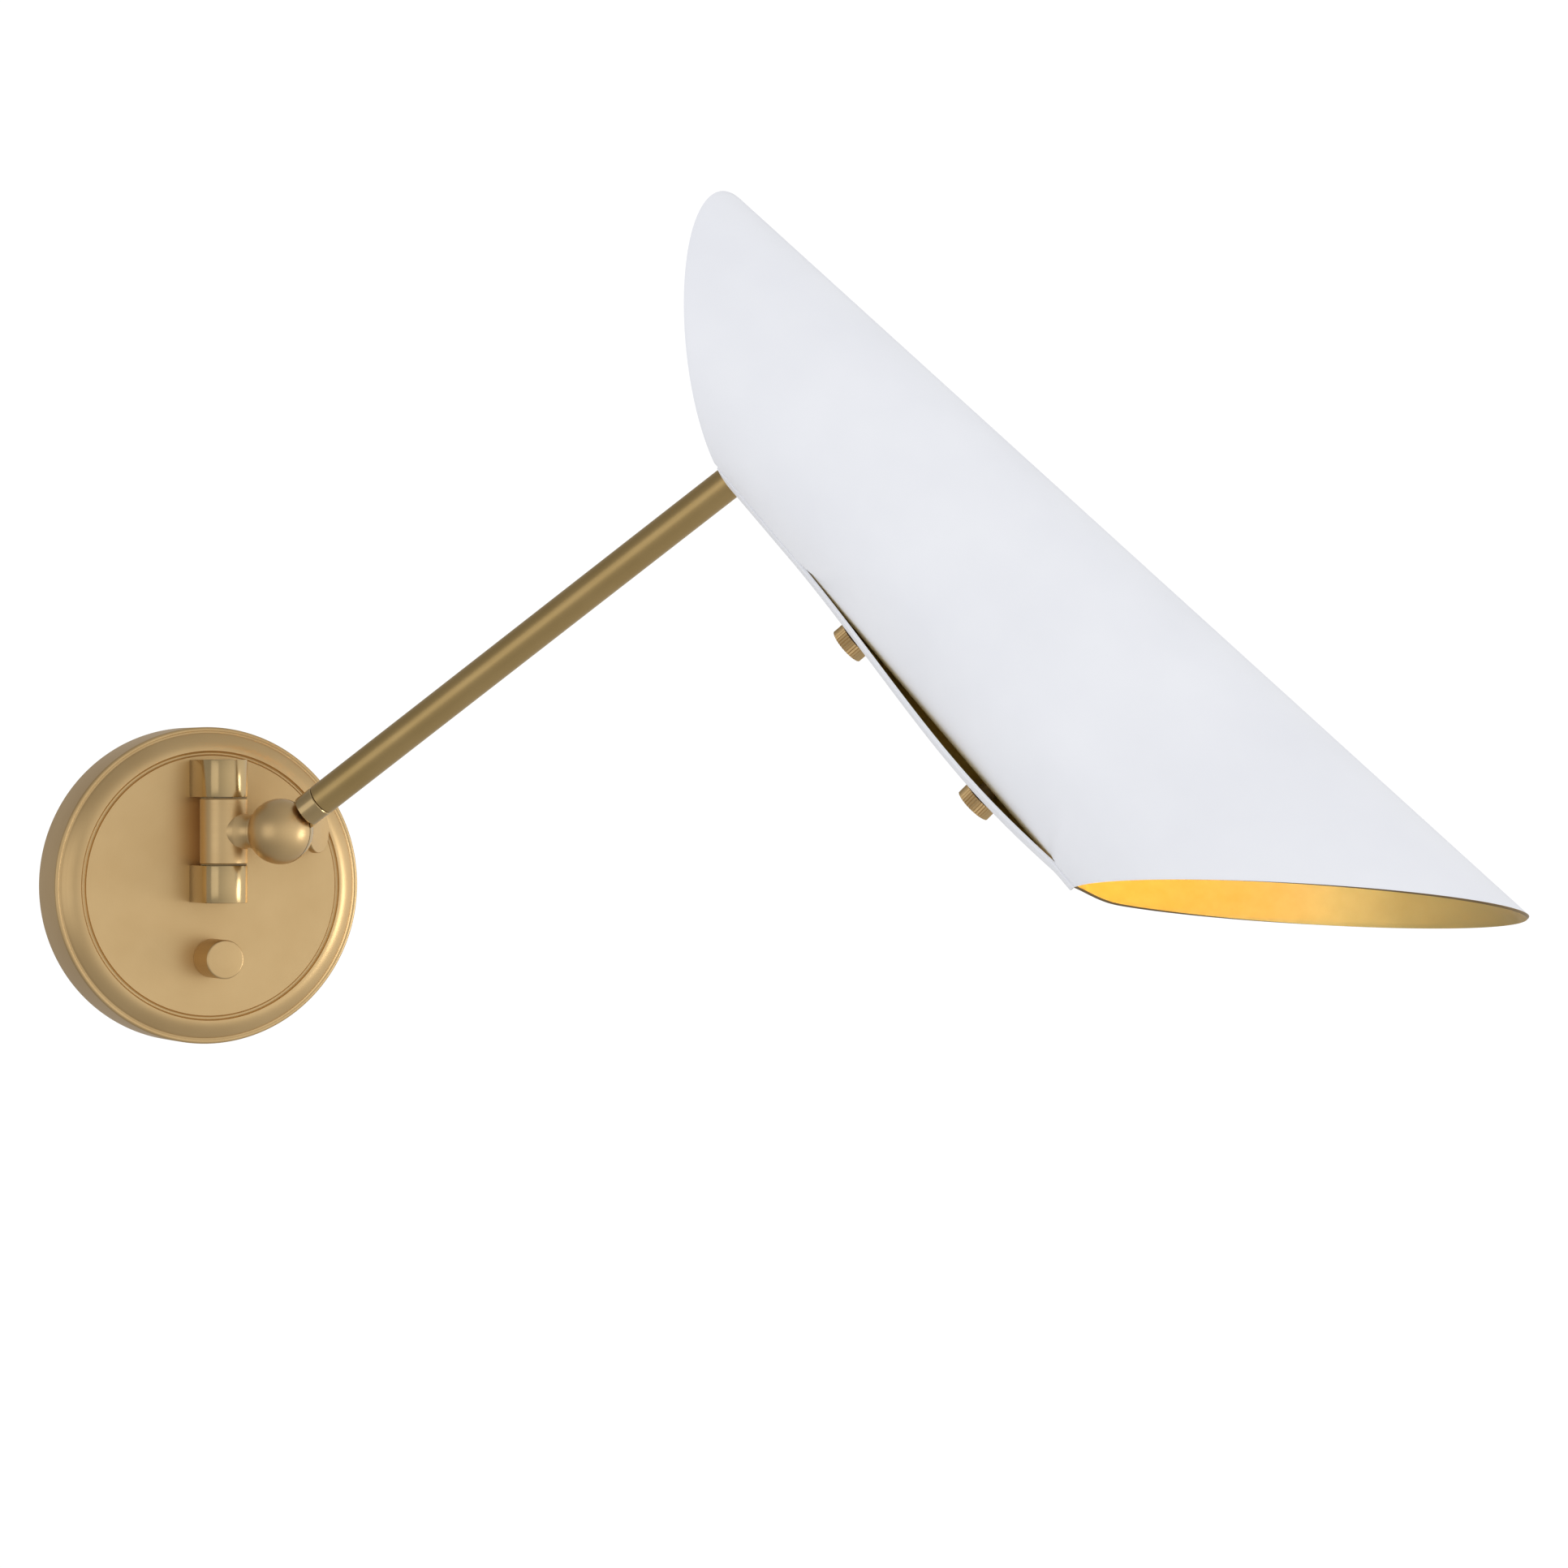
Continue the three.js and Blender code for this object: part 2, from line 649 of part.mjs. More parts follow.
// The block that trims both ends: one side outline, cut through the roll at a skew.
function buildTrimBlock() {
  const mouthAt = (height) => mouthOnAxis - mouthSlope * height;
  const openingAt = (height) => openingOnAxis + openingSlope * height;
  const high = 2 * shadeRadius;
  const low = -2 * shadeRadius;
  // where the opening's line meets the underside of the roll
  const cornerHeight = -(shadeOuter(openingOnAxis) + seat) / (1 + shadeTaper * openingSlope);
  const cornerPlace = openingAt(cornerHeight);
  const along = Math.hypot(1, openingSlope);
  const outline = new THREE.Shape();
  outline.moveTo(mouthAt(high), high);
  outline.lineTo(mouthAt(low), low);
  outline.lineTo(cornerPlace - cornerRound, low);
  outline.lineTo(cornerPlace - cornerRound, cornerHeight + shadeTaper * cornerRound);
  outline.quadraticCurveTo(
    cornerPlace,
    cornerHeight,
    cornerPlace + (cornerRound * openingSlope) / along,
    cornerHeight + cornerRound / along,
  );
  outline.lineTo(openingAt(high), high);
  const block = slab('y', outline, -2 * shadeRadius, 2 * shadeRadius);
  const skew = new THREE.Matrix4().set(1, cutSkew, 0, 0, 0, 1, 0, 0, 0, 0, 1, 0, 0, 0, 0, 1);
  return block.applyMatrix4(skew);
}

// ---------------------------------------------------------------- lap studs and thumb nuts

// Slope of the lapping sheet's outer face along the seam at a stud.
function seamSlope(place) {
  const step = 0.5;
  return shadeTaper + (liftAt(place + step) - liftAt(place - step)) / (2 * step);
}

// A frame on the lap's outer face at a stud: Z points in, towards the axis.
function studFrame(place) {
  const height = -(shadeOuter(place) + liftAt(place));
  return frameIn(shadeFrame, place, 0, height, 'y', Math.atan(seamSlope(place)));
}

const lapBelow = (place) => liftAt(place) + sheet;
const tuckedSheetEnd = (place) => lapBelow(place) + lapGap + sheet;
const strapInner = (place) => tuckedSheetEnd(place) + seamStrapSeat + seamStrapThickness;

// A hole along a stud, given in the shade's own frame.
function studHole(place) {
  const hole = rod('z', studRadius + 2 * fit, -overcut, strapInner(place) + studHeadHeight + overcut);
  hole.rotateY(Math.atan(seamSlope(place)));
  return solid(hole.translate(place, 0, -(shadeOuter(place) + liftAt(place))));
}

function buildSeamStrap() {
  const plateFrom = forkBaseEnd + seat;
  const plateTo = plateFrom + seamStrapThickness;
  const under = (place) => -(shadeOuter(place) - 2 * sheet - lapGap - seamStrapSeat);
  const outline = outlineOf([
    [plateFrom, forkBaseRadius],
    [plateFrom, under(plateFrom)],
    [seamStrapEnd, under(seamStrapEnd)],
    [seamStrapEnd, under(seamStrapEnd) + seamStrapThickness],
    [plateTo, under(plateTo) + seamStrapThickness],
    [plateTo, forkBaseRadius],
  ]);
  const nippleHole = rod('x', nippleRadius + fit, plateFrom - overcut, plateTo + overcut);
  let strap = solid(slab('y', outline, -seamStrapWidth / 2, seamStrapWidth / 2));
  strap = strap.subtract(solid(nippleHole));
  for (const place of [upperStudPlace, lowerStudPlace]) {
    strap = strap.subtract(studHole(place));
  }
  return strap;
}

// The scallop in the mouth's rim that the arm rests in when the shade is at its lowest.
function armRelief() {
  const passing = rod('x', armRadius + armReliefClearance, -2 * shadeRadius, -shadeRadius / 2, turn);
  return solid(passing.rotateY(-radians(armElevation + shadePitch)));
}

let shade = solid(buildRolledSheet()).intersect(solid(buildTrimBlock())).subtract(armRelief());
for (const place of [upperStudPlace, lowerStudPlace]) {
  shade = shade.subtract(studHole(place));
}
add(shadeFrame, 'shade', shade, whiteEnamel);
add(shadeFrame, 'seam_strap', buildSeamStrap(), steel);

for (const [which, place] of [['upper', upperStudPlace], ['lower', lowerStudPlace]]) {
  const frame = studFrame(place);
  const headStart = strapInner(place) + fit;
  const nutEnd = -fit;
  const nutStart = nutEnd - thumbNutHeight;
  const studShape = turned('z', [
    [0, nutStart - studTip],
    [studRadius, nutStart - studTip],
    [studRadius, headStart],
    [studHeadRadius, headStart],
    [studHeadRadius, headStart + studHeadHeight],
    [0, headStart + studHeadHeight],
  ], smallTurn);
  add(frame, `lap_stud_${which}`, studShape, steel);
  const spacerFrom = sheet + spacerPlay;
  const spacerTo = liftAt(place) + sheet + lapGap - spacerPlay;
  const spacer = ring('z', studRadius + fit, spacerRadius, spacerFrom, spacerTo, smallTurn);
  add(frame, `lap_spacer_${which}`, spacer, nylon);
  const knurl = toothedOutline(thumbNutRadius, 2 * thumbNutTeeth, thumbNutToothDepth);
  const thumbNut = solid(slab('z', knurl, nutStart, nutEnd));
  const bore = rod('z', studRadius + fit, nutStart - overcut, nutEnd + overcut);
  add(frame, `thumb_nut_${which}`, thumbNut.subtract(solid(bore)), satinBrass);
}

// ---------------------------------------------------------------- lampholder and bulb

const strapPlateEnd = forkBaseEnd + seat + seamStrapThickness;
const lockNutStart = strapPlateEnd + seat;
const capStart = lockNutStart + lockNutHeight + fit;
const capEnd = capStart + holderCapLength;
const bodyStart = capEnd + fit;
const bodyEnd = bodyStart + holderBodyLength;
const shellOuter = bulbBaseRadius + bulbBasePlay + shellWall;
const holderInner = shellOuter + fit;
const holderRadius = holderInner + holderWall;
const nippleStart = forkBaseStart + seat;
const contactBack = bodyStart + holderFloor + seat;
const bulbStart = contactBack + contactThickness + fit;
const glassStart = bulbStart + bulbBaseLength + fit;
const globeCentre = glassStart + bulbLength - bulbRadius;

// The bulb's outline from its neck to its tip, set in by a wall.
function bulbOutline(inset) {
  const neck = new THREE.CubicBezierCurve(
    new THREE.Vector2(bulbBaseRadius, glassStart),
    new THREE.Vector2(bulbBaseRadius, glassStart + bulbRadius * bulbNeckPull),
    new THREE.Vector2(bulbRadius, globeCentre - bulbRadius * bulbShoulderPull),
    new THREE.Vector2(bulbRadius, globeCentre),
  );
  const points = neck.getPoints(globeSteps).map((point) => [point.x - inset, point.y]);
  for (let i = 1; i <= globeSteps; i += 1) {
    const angle = (i / globeSteps) * (Math.PI / 2);
    const radius = i === globeSteps ? 0 : (bulbRadius - inset) * Math.cos(angle);
    points.push([radius, globeCentre + (bulbRadius - inset) * Math.sin(angle)]);
  }
  return points;
}

const holderCapShape = turned('x', [
  [nippleRadius + fit, capStart],
  [holderRadius / 2, capStart],
  [holderRadius, capStart + holderCapLength / 2],
  [holderRadius, capEnd],
  [holderInner, capEnd],
  [holderInner, capStart + holderCapLength / 2 + holderWall / 2],
  [holderRadius / 2 - holderWall / 4, capStart + holderWall],
  [nippleRadius + fit, capStart + holderWall],
  [nippleRadius + fit, capStart],
]);
const holderBodyShape = turned('x', [
  [rivetRadius + fit, bodyStart],
  [holderRadius, bodyStart],
  [holderRadius, bodyEnd],
  [holderInner, bodyEnd],
  [holderInner, bodyStart + holderFloor],
  [rivetRadius + fit, bodyStart + holderFloor],
  [rivetRadius + fit, bodyStart],
]);
const contactShape = turned('x', [
  [0, bodyStart - rivetTail],
  [rivetRadius, bodyStart - rivetTail],
  [rivetRadius, contactBack],
  [contactRadius, contactBack],
  [contactRadius, contactBack + contactThickness],
  [0, contactBack + contactThickness],
], smallTurn);
const bulbBaseShape = turned('x', [
  [0, bulbStart],
  [contactRadius, bulbStart],
  [bulbBaseRadius, bulbStart + bulbBaseTaper],
  [bulbBaseRadius, bulbStart + bulbBaseLength],
  [0, bulbStart + bulbBaseLength],
]);
const bulbOuter = bulbOutline(0);
const bulbInner = bulbOutline(bulbGlassWall).reverse();
const bulbGlassShape = turned('x', [...bulbOuter, ...bulbInner, bulbOuter[0]]);

const nippleShape = ring('x', nippleBore, nippleRadius, nippleStart, nippleStart + nippleLength, smallTurn);
const lockNutShape = nut(
  'x', lockNutAcrossCorners, nippleRadius + fit, lockNutStart, lockNutStart + lockNutHeight,
);
const shellStart = bodyStart + holderFloor + fit;
const screwShell = ring('x', shellOuter - shellWall, shellOuter, shellStart, bodyEnd - shellSetBack);

add(shadeFrame, 'nipple', nippleShape, steel);
add(shadeFrame, 'nipple_lock_nut', lockNutShape, steel);
add(shadeFrame, 'lampholder_cap', holderCapShape, blackMoulding);
add(shadeFrame, 'lampholder_body', holderBodyShape, blackMoulding);
add(shadeFrame, 'lampholder_contact', contactShape, polishedBrass);
add(shadeFrame, 'lampholder_screw_shell', screwShell, polishedBrass);
add(shadeFrame, 'bulb_base', bulbBaseShape, steel);
add(shadeFrame, 'bulb_glass', bulbGlassShape, opalGlass);

// ---------------------------------------------------------------- dimmer

const dimmer = frameIn(lamp, 0, -plateFaceDepth, -knobDrop);
const bodyFront = plateWall + seat;
const knobStart = -seat;
const shaftBore = shaftRadius + fit;

const dimmerBodyShape = turned('y', [
  [shaftBore, bodyFront + dimmerBodyDepth],
  [dimmerBodyRadius, bodyFront + dimmerBodyDepth],
  [dimmerBodyRadius, bodyFront],
  [dimmerBushRadius, bodyFront],
  [dimmerBushRadius, bodyFront - dimmerBushLength],
  [shaftBore, bodyFront - dimmerBushLength],
  [shaftBore, bodyFront + dimmerBodyDepth],
]);
const knobShape = turned('y', [
  [knobRadius, knobStart],
  [knobRadius, knobStart - knobLength + knobEdge],
  [knobRadius - knobEdge, knobStart - knobLength],
  [0, knobStart - knobLength],
  [0, knobStart - shaftLength],
  [shaftBore, knobStart - shaftLength],
  [shaftBore, knobStart - knobRecess],
  [knobRadius - knobWall, knobStart - knobRecess],
  [knobRadius - knobWall, knobStart],
  [knobRadius, knobStart],
]);
const dimmerNutShape = nut(
  'y', dimmerNutAcrossCorners, dimmerBushRadius + fit, -seat - dimmerNutHeight, -seat,
);

add(dimmer, 'dimmer_body', dimmerBodyShape, blackMoulding);
add(dimmer, 'dimmer_nut', dimmerNutShape, steel);
add(dimmer, 'dimmer_shaft', rod('y', shaftRadius, -shaftLength, bodyFront + shaftGrip), steel);
add(dimmer, 'dimmer_knob', knobShape, satinBrass);

export default lamp;
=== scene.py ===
"""Looks of a swing arm wall sconce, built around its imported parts.

Satin brass backplate, hinge, ball swivel and arm, and a long shade rolled from one white sheet
with a gold lining. Every sub-assembly is modelled in millimetres in its own placement and then
laid into the shared frame in metres: +Z up, the wall on Y = 0, the lamp towards -Y.
"""

from __future__ import annotations

import json
import logging
import math
from dataclasses import dataclass, field
from enum import Enum

import bpy
from mathutils import Matrix, Vector


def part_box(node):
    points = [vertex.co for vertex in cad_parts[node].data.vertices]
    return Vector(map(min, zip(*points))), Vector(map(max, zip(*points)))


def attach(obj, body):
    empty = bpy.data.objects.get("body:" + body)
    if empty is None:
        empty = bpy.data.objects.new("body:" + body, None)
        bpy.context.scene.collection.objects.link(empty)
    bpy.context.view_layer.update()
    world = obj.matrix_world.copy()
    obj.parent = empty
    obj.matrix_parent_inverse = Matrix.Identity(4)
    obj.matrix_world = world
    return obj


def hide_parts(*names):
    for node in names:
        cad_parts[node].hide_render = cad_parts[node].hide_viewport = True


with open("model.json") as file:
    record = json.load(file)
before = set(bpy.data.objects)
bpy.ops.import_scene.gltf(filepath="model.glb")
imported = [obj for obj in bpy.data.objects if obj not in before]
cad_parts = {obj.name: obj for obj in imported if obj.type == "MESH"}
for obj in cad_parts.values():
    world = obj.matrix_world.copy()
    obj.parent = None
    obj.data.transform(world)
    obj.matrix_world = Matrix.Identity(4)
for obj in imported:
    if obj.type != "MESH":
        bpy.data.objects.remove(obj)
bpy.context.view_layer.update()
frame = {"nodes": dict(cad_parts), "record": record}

MM = 0.001
WELD_MM = 1e-4
SMOOTH_DEG = 32.0
FINE_FACETS = 128
FACETS = 72

log = logging.getLogger("sconce")

Outline = list[tuple[float, float]]
Socket = bpy.types.NodeSocket
Piece = bpy.types.Object

# a noise mostly stays between these two values
NOISE_LOW = 0.3
NOISE_HIGH = 0.7
NOISE_ROUGHNESS = 0.55
COATING_IOR = 1.5


# ------------------------------------------------------------------ placements


@dataclass(frozen=True)
class Placement:
    """Where a sub-assembly stands: an origin in metres, its X axis and its Z axis."""

    origin: Vector
    x_axis: Vector
    z_axis: Vector

    def matrix(self) -> Matrix:
        """Gives the turn and shift of this placement, in metres."""
        x_axis = self.x_axis.normalized()
        z_axis = self.z_axis.normalized()
        y_axis = z_axis.cross(x_axis)
        turn = Matrix((x_axis, y_axis, z_axis)).transposed().to_4x4()
        return Matrix.Translation(self.origin) @ turn

    def y_axis(self) -> Vector:
        """Gives the third axis of this placement."""
        return self.z_axis.cross(self.x_axis).normalized()

    def facing(self, axis: str) -> "Placement":
        """Turns the placement so that its Z lies along one of its own axes.

        Args:
            axis: "x", "y" or "z", with a leading "-" to face the other way.

        Returns:
            The same origin with Z along that axis.
        """
        sign = -1.0 if axis.startswith("-") else 1.0
        if axis.endswith("x"):
            return Placement(self.origin, self.y_axis(), self.x_axis * sign)
        if axis.endswith("y"):
            return Placement(self.origin, self.x_axis, self.y_axis() * sign)
        return Placement(self.origin, self.x_axis, self.z_axis * sign)


def joint_of(name: str) -> dict:
    """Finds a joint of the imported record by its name."""
    joints = frame["record"]["behaviour"]["joints"]
    return next(joint for joint in joints if joint["name"] == name)


def box_centre(node: str) -> Vector:
    """Gives the middle of a node's box, in metres."""
    low, high = (Vector(corner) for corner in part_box(node))
    return (low + high) / 2


UP = Vector((0, 0, 1))
RIGHT = Vector((1, 0, 0))
INTO_WALL = Vector((0, 1, 0))


@dataclass(frozen=True)
class LampPlacements:
    """The placements of all sub-assemblies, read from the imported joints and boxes."""

    plate: Placement
    hinge: Placement
    swing: Placement
    ball: Placement
    arm: Placement
    shade: Placement
    nut_upper: Placement
    nut_lower: Placement
    knob: Placement

    @staticmethod
    def from_frame() -> "LampPlacements":
        """Works the placements out from the joints.

        Returns:
            One placement for each sub-assembly.
        """
        hinge_at = Vector(joint_of("arm_swing")["pos_m"])
        ball_at = Vector(joint_of("arm_tilt")["pos_m"])
        pivot_at = Vector(joint_of("shade_tilt")["pos_m"])
        near = Vector(joint_of("arm_tilt")["axis"]).normalized()
        heading = UP.cross(near)
        along_arm = (pivot_at - ball_at).normalized()
        along_shade = (box_centre("lampholder_screw_shell") - pivot_at).normalized()
        nuts = {}
        for which in ("upper", "lower"):
            turn = joint_of(f"thumb_nut_{which}_turn")
            inward = -Vector(turn["axis"]).normalized()
            nuts[which] = Placement(Vector(turn["pos_m"]), near.cross(inward), inward)
        return LampPlacements(
            plate=Placement(Vector((0, 0, 0)), RIGHT, -INTO_WALL),
            hinge=Placement(hinge_at, RIGHT, UP),
            swing=Placement(hinge_at, heading, UP),
            ball=Placement(ball_at, heading, UP),
            arm=Placement(ball_at, along_arm, near.cross(along_arm)),
            shade=Placement(pivot_at, along_shade, near.cross(along_shade)),
            nut_upper=nuts["upper"],
            nut_lower=nuts["lower"],
            knob=Placement(Vector(joint_of("dimmer_turn")["pos_m"]), RIGHT, -INTO_WALL),
        )


# ------------------------------------------------------------------ finishes


def linear(code: int) -> tuple[float, float, float, float]:
    """Turns an sRGB hex colour into linear values.

    Args:
        code: The colour as 0xRRGGBB.

    Returns:
        Linear red, green and blue, and an alpha of one.
    """
    shares = [((code >> shift) & 255) / 255 for shift in (16, 8, 0)]
    red, green, blue = (
        share / 12.92 if share <= 0.04045 else ((share + 0.055) / 1.055) ** 2.4 for share in shares
    )
    return (red, green, blue, 1.0)


def add_node(
    tree: bpy.types.NodeTree,
    kind: str,
    settings: dict[str | int, object] | None = None,
    links: dict[str | int, Socket] | None = None,
) -> bpy.types.Node:
    """Adds one node with its settings and links.

    Args:
        tree: The node tree that it goes into.
        kind: Blender's name for the node type.
        settings: Values by property name, or by input name or number.
        links: Source sockets by input name or number.

    Returns:
        The new node.
    """
    node = tree.nodes.new(kind)
    for name, value in (settings or {}).items():
        if isinstance(name, str) and hasattr(node, name):
            setattr(node, name, value)
        else:
            node.inputs[name].default_value = value
    for name, source in (links or {}).items():
        tree.links.new(source, node.inputs[name])
    return node


class BrushRun(Enum):
    """Which way the fine lines of a brushed surface run."""

    AROUND = "around the turning axis"
    ALONG = "along the axis"


def new_material(name: str) -> tuple[bpy.types.Material, bpy.types.Node]:
    """Makes an empty material with its shader and output.

    Args:
        name: The finish's name.

    Returns:
        The material and its Principled shader.
    """
    material = bpy.data.materials.new(name)
    material.use_nodes = True
    tree = material.node_tree
    tree.nodes.clear()
    shader = add_node(tree, "ShaderNodeBsdfPrincipled")
    add_node(tree, "ShaderNodeOutputMaterial", links={"Surface": shader.outputs["BSDF"]})
    return material, shader


class Recipe:
    """A material in the making, with coordinates in its piece's placement, in metres."""

    def __init__(self, name: str, placement: Placement) -> None:
        """Starts the material.

        Args:
            name: The finish's name.
            placement: The piece's placement, with Z along its turning axis.
        """
        self.material, self.shader = new_material(name)
        self.tree = self.material.node_tree
        turn = placement.matrix().to_euler()
        settings = {"vector_type": "TEXTURE", "Location": placement.origin, "Rotation": turn}
        links = {"Vector": add_node(self.tree, "ShaderNodeTexCoord").outputs["Object"]}
        self.vector = add_node(self.tree, "ShaderNodeMapping", settings, links).outputs["Vector"]

    def noise(self, grain_mm: float, detail: float = 3.0, vector: Socket | None = None) -> Socket:
        """Adds a noise whose blotches are about as wide as the grain.

        Args:
            grain_mm: The real width of the pattern's grain.
            detail: How many finer layers lie on it.
            vector: Coordinates in metres, where they aren't the piece's own.

        Returns:
            The noise's value.
        """
        settings = {"Scale": 1 / (grain_mm * MM), "Detail": detail, "Roughness": NOISE_ROUGHNESS}
        links = {"Vector": vector or self.vector}
        return add_node(self.tree, "ShaderNodeTexNoise", settings, links).outputs[0]

    def ranged(self, value: Socket, low: float, high: float) -> Socket:
        """Spreads the middle of a noise over a range.

        Args:
            value: The noise.
            low: Result where the noise is low.
            high: Result where the noise is high.

        Returns:
            The ranged value.
        """
        settings = {"From Min": NOISE_LOW, "From Max": NOISE_HIGH, "To Min": low, "To Max": high}
        return add_node(self.tree, "ShaderNodeMapRange", settings, {"Value": value}).outputs["Result"]

    def toned(self, value: Socket, low: int, high: int) -> Socket:
        """Mixes two hex colours by a noise.

        Args:
            value: The noise.
            low: Colour where the noise is low.
            high: Colour where the noise is high.

        Returns:
            The colour.
        """
        settings = {"data_type": "RGBA", 6: linear(low), 7: linear(high)}
        links = {0: self.ranged(value, 0.0, 1.0)}
        return add_node(self.tree, "ShaderNodeMix", settings, links).outputs[2]

    def bump(self, height: Socket, depth_mm: float, strength: float) -> Socket:
        """Makes a fine relief.

        Args:
            height: The noise that it follows.
            depth_mm: Its depth.
            strength: How much of it shows.

        Returns:
            The bent normal.
        """
        settings = {"Strength": strength, "Distance": depth_mm * MM}
        return add_node(self.tree, "ShaderNodeBump", settings, {"Height": height}).outputs["Normal"]

    def settle(self, constants: dict[str, object], sources: dict[str, Socket]) -> None:
        """Sets the shader's constants and links its sources.

        Args:
            constants: Values by input name.
            sources: Source sockets by input name.
        """
        for name, value in constants.items():
            self.shader.inputs[name].default_value = value
        for name, source in sources.items():
            self.tree.links.new(source, self.shader.inputs[name])


@dataclass(frozen=True)
class Finish:
    """A finish of the lamp: the record's slot that it fills, and its two tones."""

    name: str
    slot: str
    light: int
    deep: int

    def mix(self, recipe: Recipe) -> None:
        """Fills in the recipe of this finish."""
        raise NotImplementedError

    def material(self, placement: Placement) -> bpy.types.Material:
        """Builds the finish for one piece.

        Args:
            placement: The piece's placement, with Z along its turning axis.

        Returns:
            The material.
        """
        recipe = Recipe(self.name, placement)
        self.mix(recipe)
        return recipe.material


@dataclass(frozen=True)
class BrushedMetal(Finish):
    """A metal worked with fine abrasive lines and then lacquered.

    The lines roughen its reflections, and slow changes of tone show the lacquer.
    """

    smooth: float
    rough: float
    line_mm: float = 0.5
    line_depth_mm: float = 0.004
    line_strength: float = 0.35
    line_squash: float = 0.02
    tone_mm: float = 28.0
    run: BrushRun = BrushRun.AROUND

    def line_vector(self, recipe: Recipe) -> Socket:
        """Gives the coordinates that the lines follow."""
        tree = recipe.tree
        if self.run is BrushRun.ALONG:
            settings = {"Scale": (1.0, 1.0, self.line_squash)}
            return add_node(tree, "ShaderNodeMapping", settings, {"Vector": recipe.vector}).outputs[0]
        parts = add_node(tree, "ShaderNodeSeparateXYZ", links={0: recipe.vector}).outputs
        flat = add_node(tree, "ShaderNodeCombineXYZ", links={0: parts[0], 1: parts[1]}).outputs[0]
        radius = add_node(tree, "ShaderNodeVectorMath", {"operation": "LENGTH"}, {0: flat})
        links = {0: radius.outputs["Value"], 1: parts[2]}
        return add_node(tree, "ShaderNodeCombineXYZ", links=links).outputs[0]

    def mix(self, recipe: Recipe) -> None:
        """Mixes the lines and the slow tones."""
        lines = recipe.noise(self.line_mm, 2.0, self.line_vector(recipe))
        sources = {
            "Base Color": recipe.toned(recipe.noise(self.tone_mm), self.deep, self.light),
            "Roughness": recipe.ranged(lines, self.smooth, self.rough),
            "Normal": recipe.bump(lines, self.line_depth_mm, self.line_strength),
        }
        recipe.settle({"Metallic": 1.0}, sources)


@dataclass(frozen=True)
class PowderCoat(Finish):
    """Satin powder coat baked on sheet steel: even colour with a faint orange peel."""

    smooth: float = 0.4
    rough: float = 0.5
    peel_mm: float = 1.2
    peel_depth_mm: float = 0.006
    peel_strength: float = 0.25
    tone_mm: float = 60.0

    def mix(self, recipe: Recipe) -> None:
        """Mixes the coat's tone and its peel."""
        peel = recipe.noise(self.peel_mm, 1.0)
        sources = {
            "Base Color": recipe.toned(recipe.noise(self.tone_mm), self.deep, self.light),
            "Roughness": recipe.ranged(peel, self.smooth, self.rough),
            "Normal": recipe.bump(peel, self.peel_depth_mm, self.peel_strength),
        }
        recipe.settle({"IOR": COATING_IOR}, sources)


@dataclass(frozen=True)
class GoldLacquer(Finish):
    """Gold coloured lacquer inside the shade, mottled; painted light makes it pale by the bulb, painted shade
    makes it tan at the long lip.
    """

    painted_lip_shade: int
    painted_lip_shade_start: float = 0.262
    painted_lip_shade_end: float = 0.318
    smooth: float = 0.38
    rough: float = 0.52
    metallic: float = 0.55
    mottle_mm: float = 7.0
    grain_mm: float = 0.8
    grain_depth_mm: float = 0.01
    grain_strength: float = 0.2

    def mix(self, recipe: Recipe) -> None:
        """Mixes the mottled gold and the painted shade towards the lip."""
        mottle = recipe.noise(self.mottle_mm)
        grain = recipe.noise(self.grain_mm, 1.0)
        place = add_node(recipe.tree, "ShaderNodeSeparateXYZ", links={0: recipe.vector}).outputs[0]
        # painted shade: along the shade's axis the mottled gold turns to a tan towards the long lip
        settings = {"From Min": self.painted_lip_shade_start, "From Max": self.painted_lip_shade_end}
        along = add_node(recipe.tree, "ShaderNodeMapRange", settings, {"Value": place}).outputs["Result"]
        settings = {"data_type": "RGBA", 7: linear(self.painted_lip_shade)}
        links = {0: along, 6: recipe.toned(mottle, self.deep, self.light)}
        sources = {
            "Base Color": add_node(recipe.tree, "ShaderNodeMix", settings, links).outputs[2],
            "Roughness": recipe.ranged(mottle, self.smooth, self.rough),
            "Normal": recipe.bump(grain, self.grain_depth_mm, self.grain_strength),
        }
        recipe.settle({"Metallic": self.metallic}, sources)


@dataclass(frozen=True)
class Moulding(Finish):
    """Moulded plastic: a fine grained skin over one colour."""

    rough: float
    spread: float = 0.06
    grain_mm: float = 0.9
    grain_depth_mm: float = 0.02
    grain_strength: float = 0.3

    def mix(self, recipe: Recipe) -> None:
        """Mixes the grained skin."""
        grain = recipe.noise(self.grain_mm, 2.0)
        sources = {
            "Base Color": recipe.toned(grain, self.deep, self.light),
            "Roughness": recipe.ranged(grain, self.rough - self.spread, self.rough + self.spread),
            "Normal": recipe.bump(grain, self.grain_depth_mm, self.grain_strength),
        }
        recipe.settle({"IOR": COATING_IOR}, sources)


@dataclass(frozen=True)
class LitOpalGlass(Finish):
    """Opal glass of a lit bulb: a smooth skin with a warm, slightly clouded glow."""

    skin: int
    strength: float = 5.0
    cloud_mm: float = 18.0
    smooth: float = 0.22
    rough: float = 0.3

    def mix(self, recipe: Recipe) -> None:
        """Mixes the skin and the glow."""
        cloud = recipe.noise(self.cloud_mm)
        skin = linear(self.skin)
        constants = {"IOR": COATING_IOR, "Base Color": skin, "Emission Strength": self.strength}
        sources = {
            "Roughness": recipe.ranged(cloud, self.smooth, self.rough),
            "Emission Color": recipe.toned(cloud, self.deep, self.light),
        }
        recipe.settle(constants, sources)


# Cartridge brass, scratch brushed and lacquered: a soft tan sheen with no mirror image.
SATIN_BRASS = BrushedMetal("satin_brushed_brass", "satin_brass", 0xD9BA88, 0xD2B280, 0.33, 0.43)
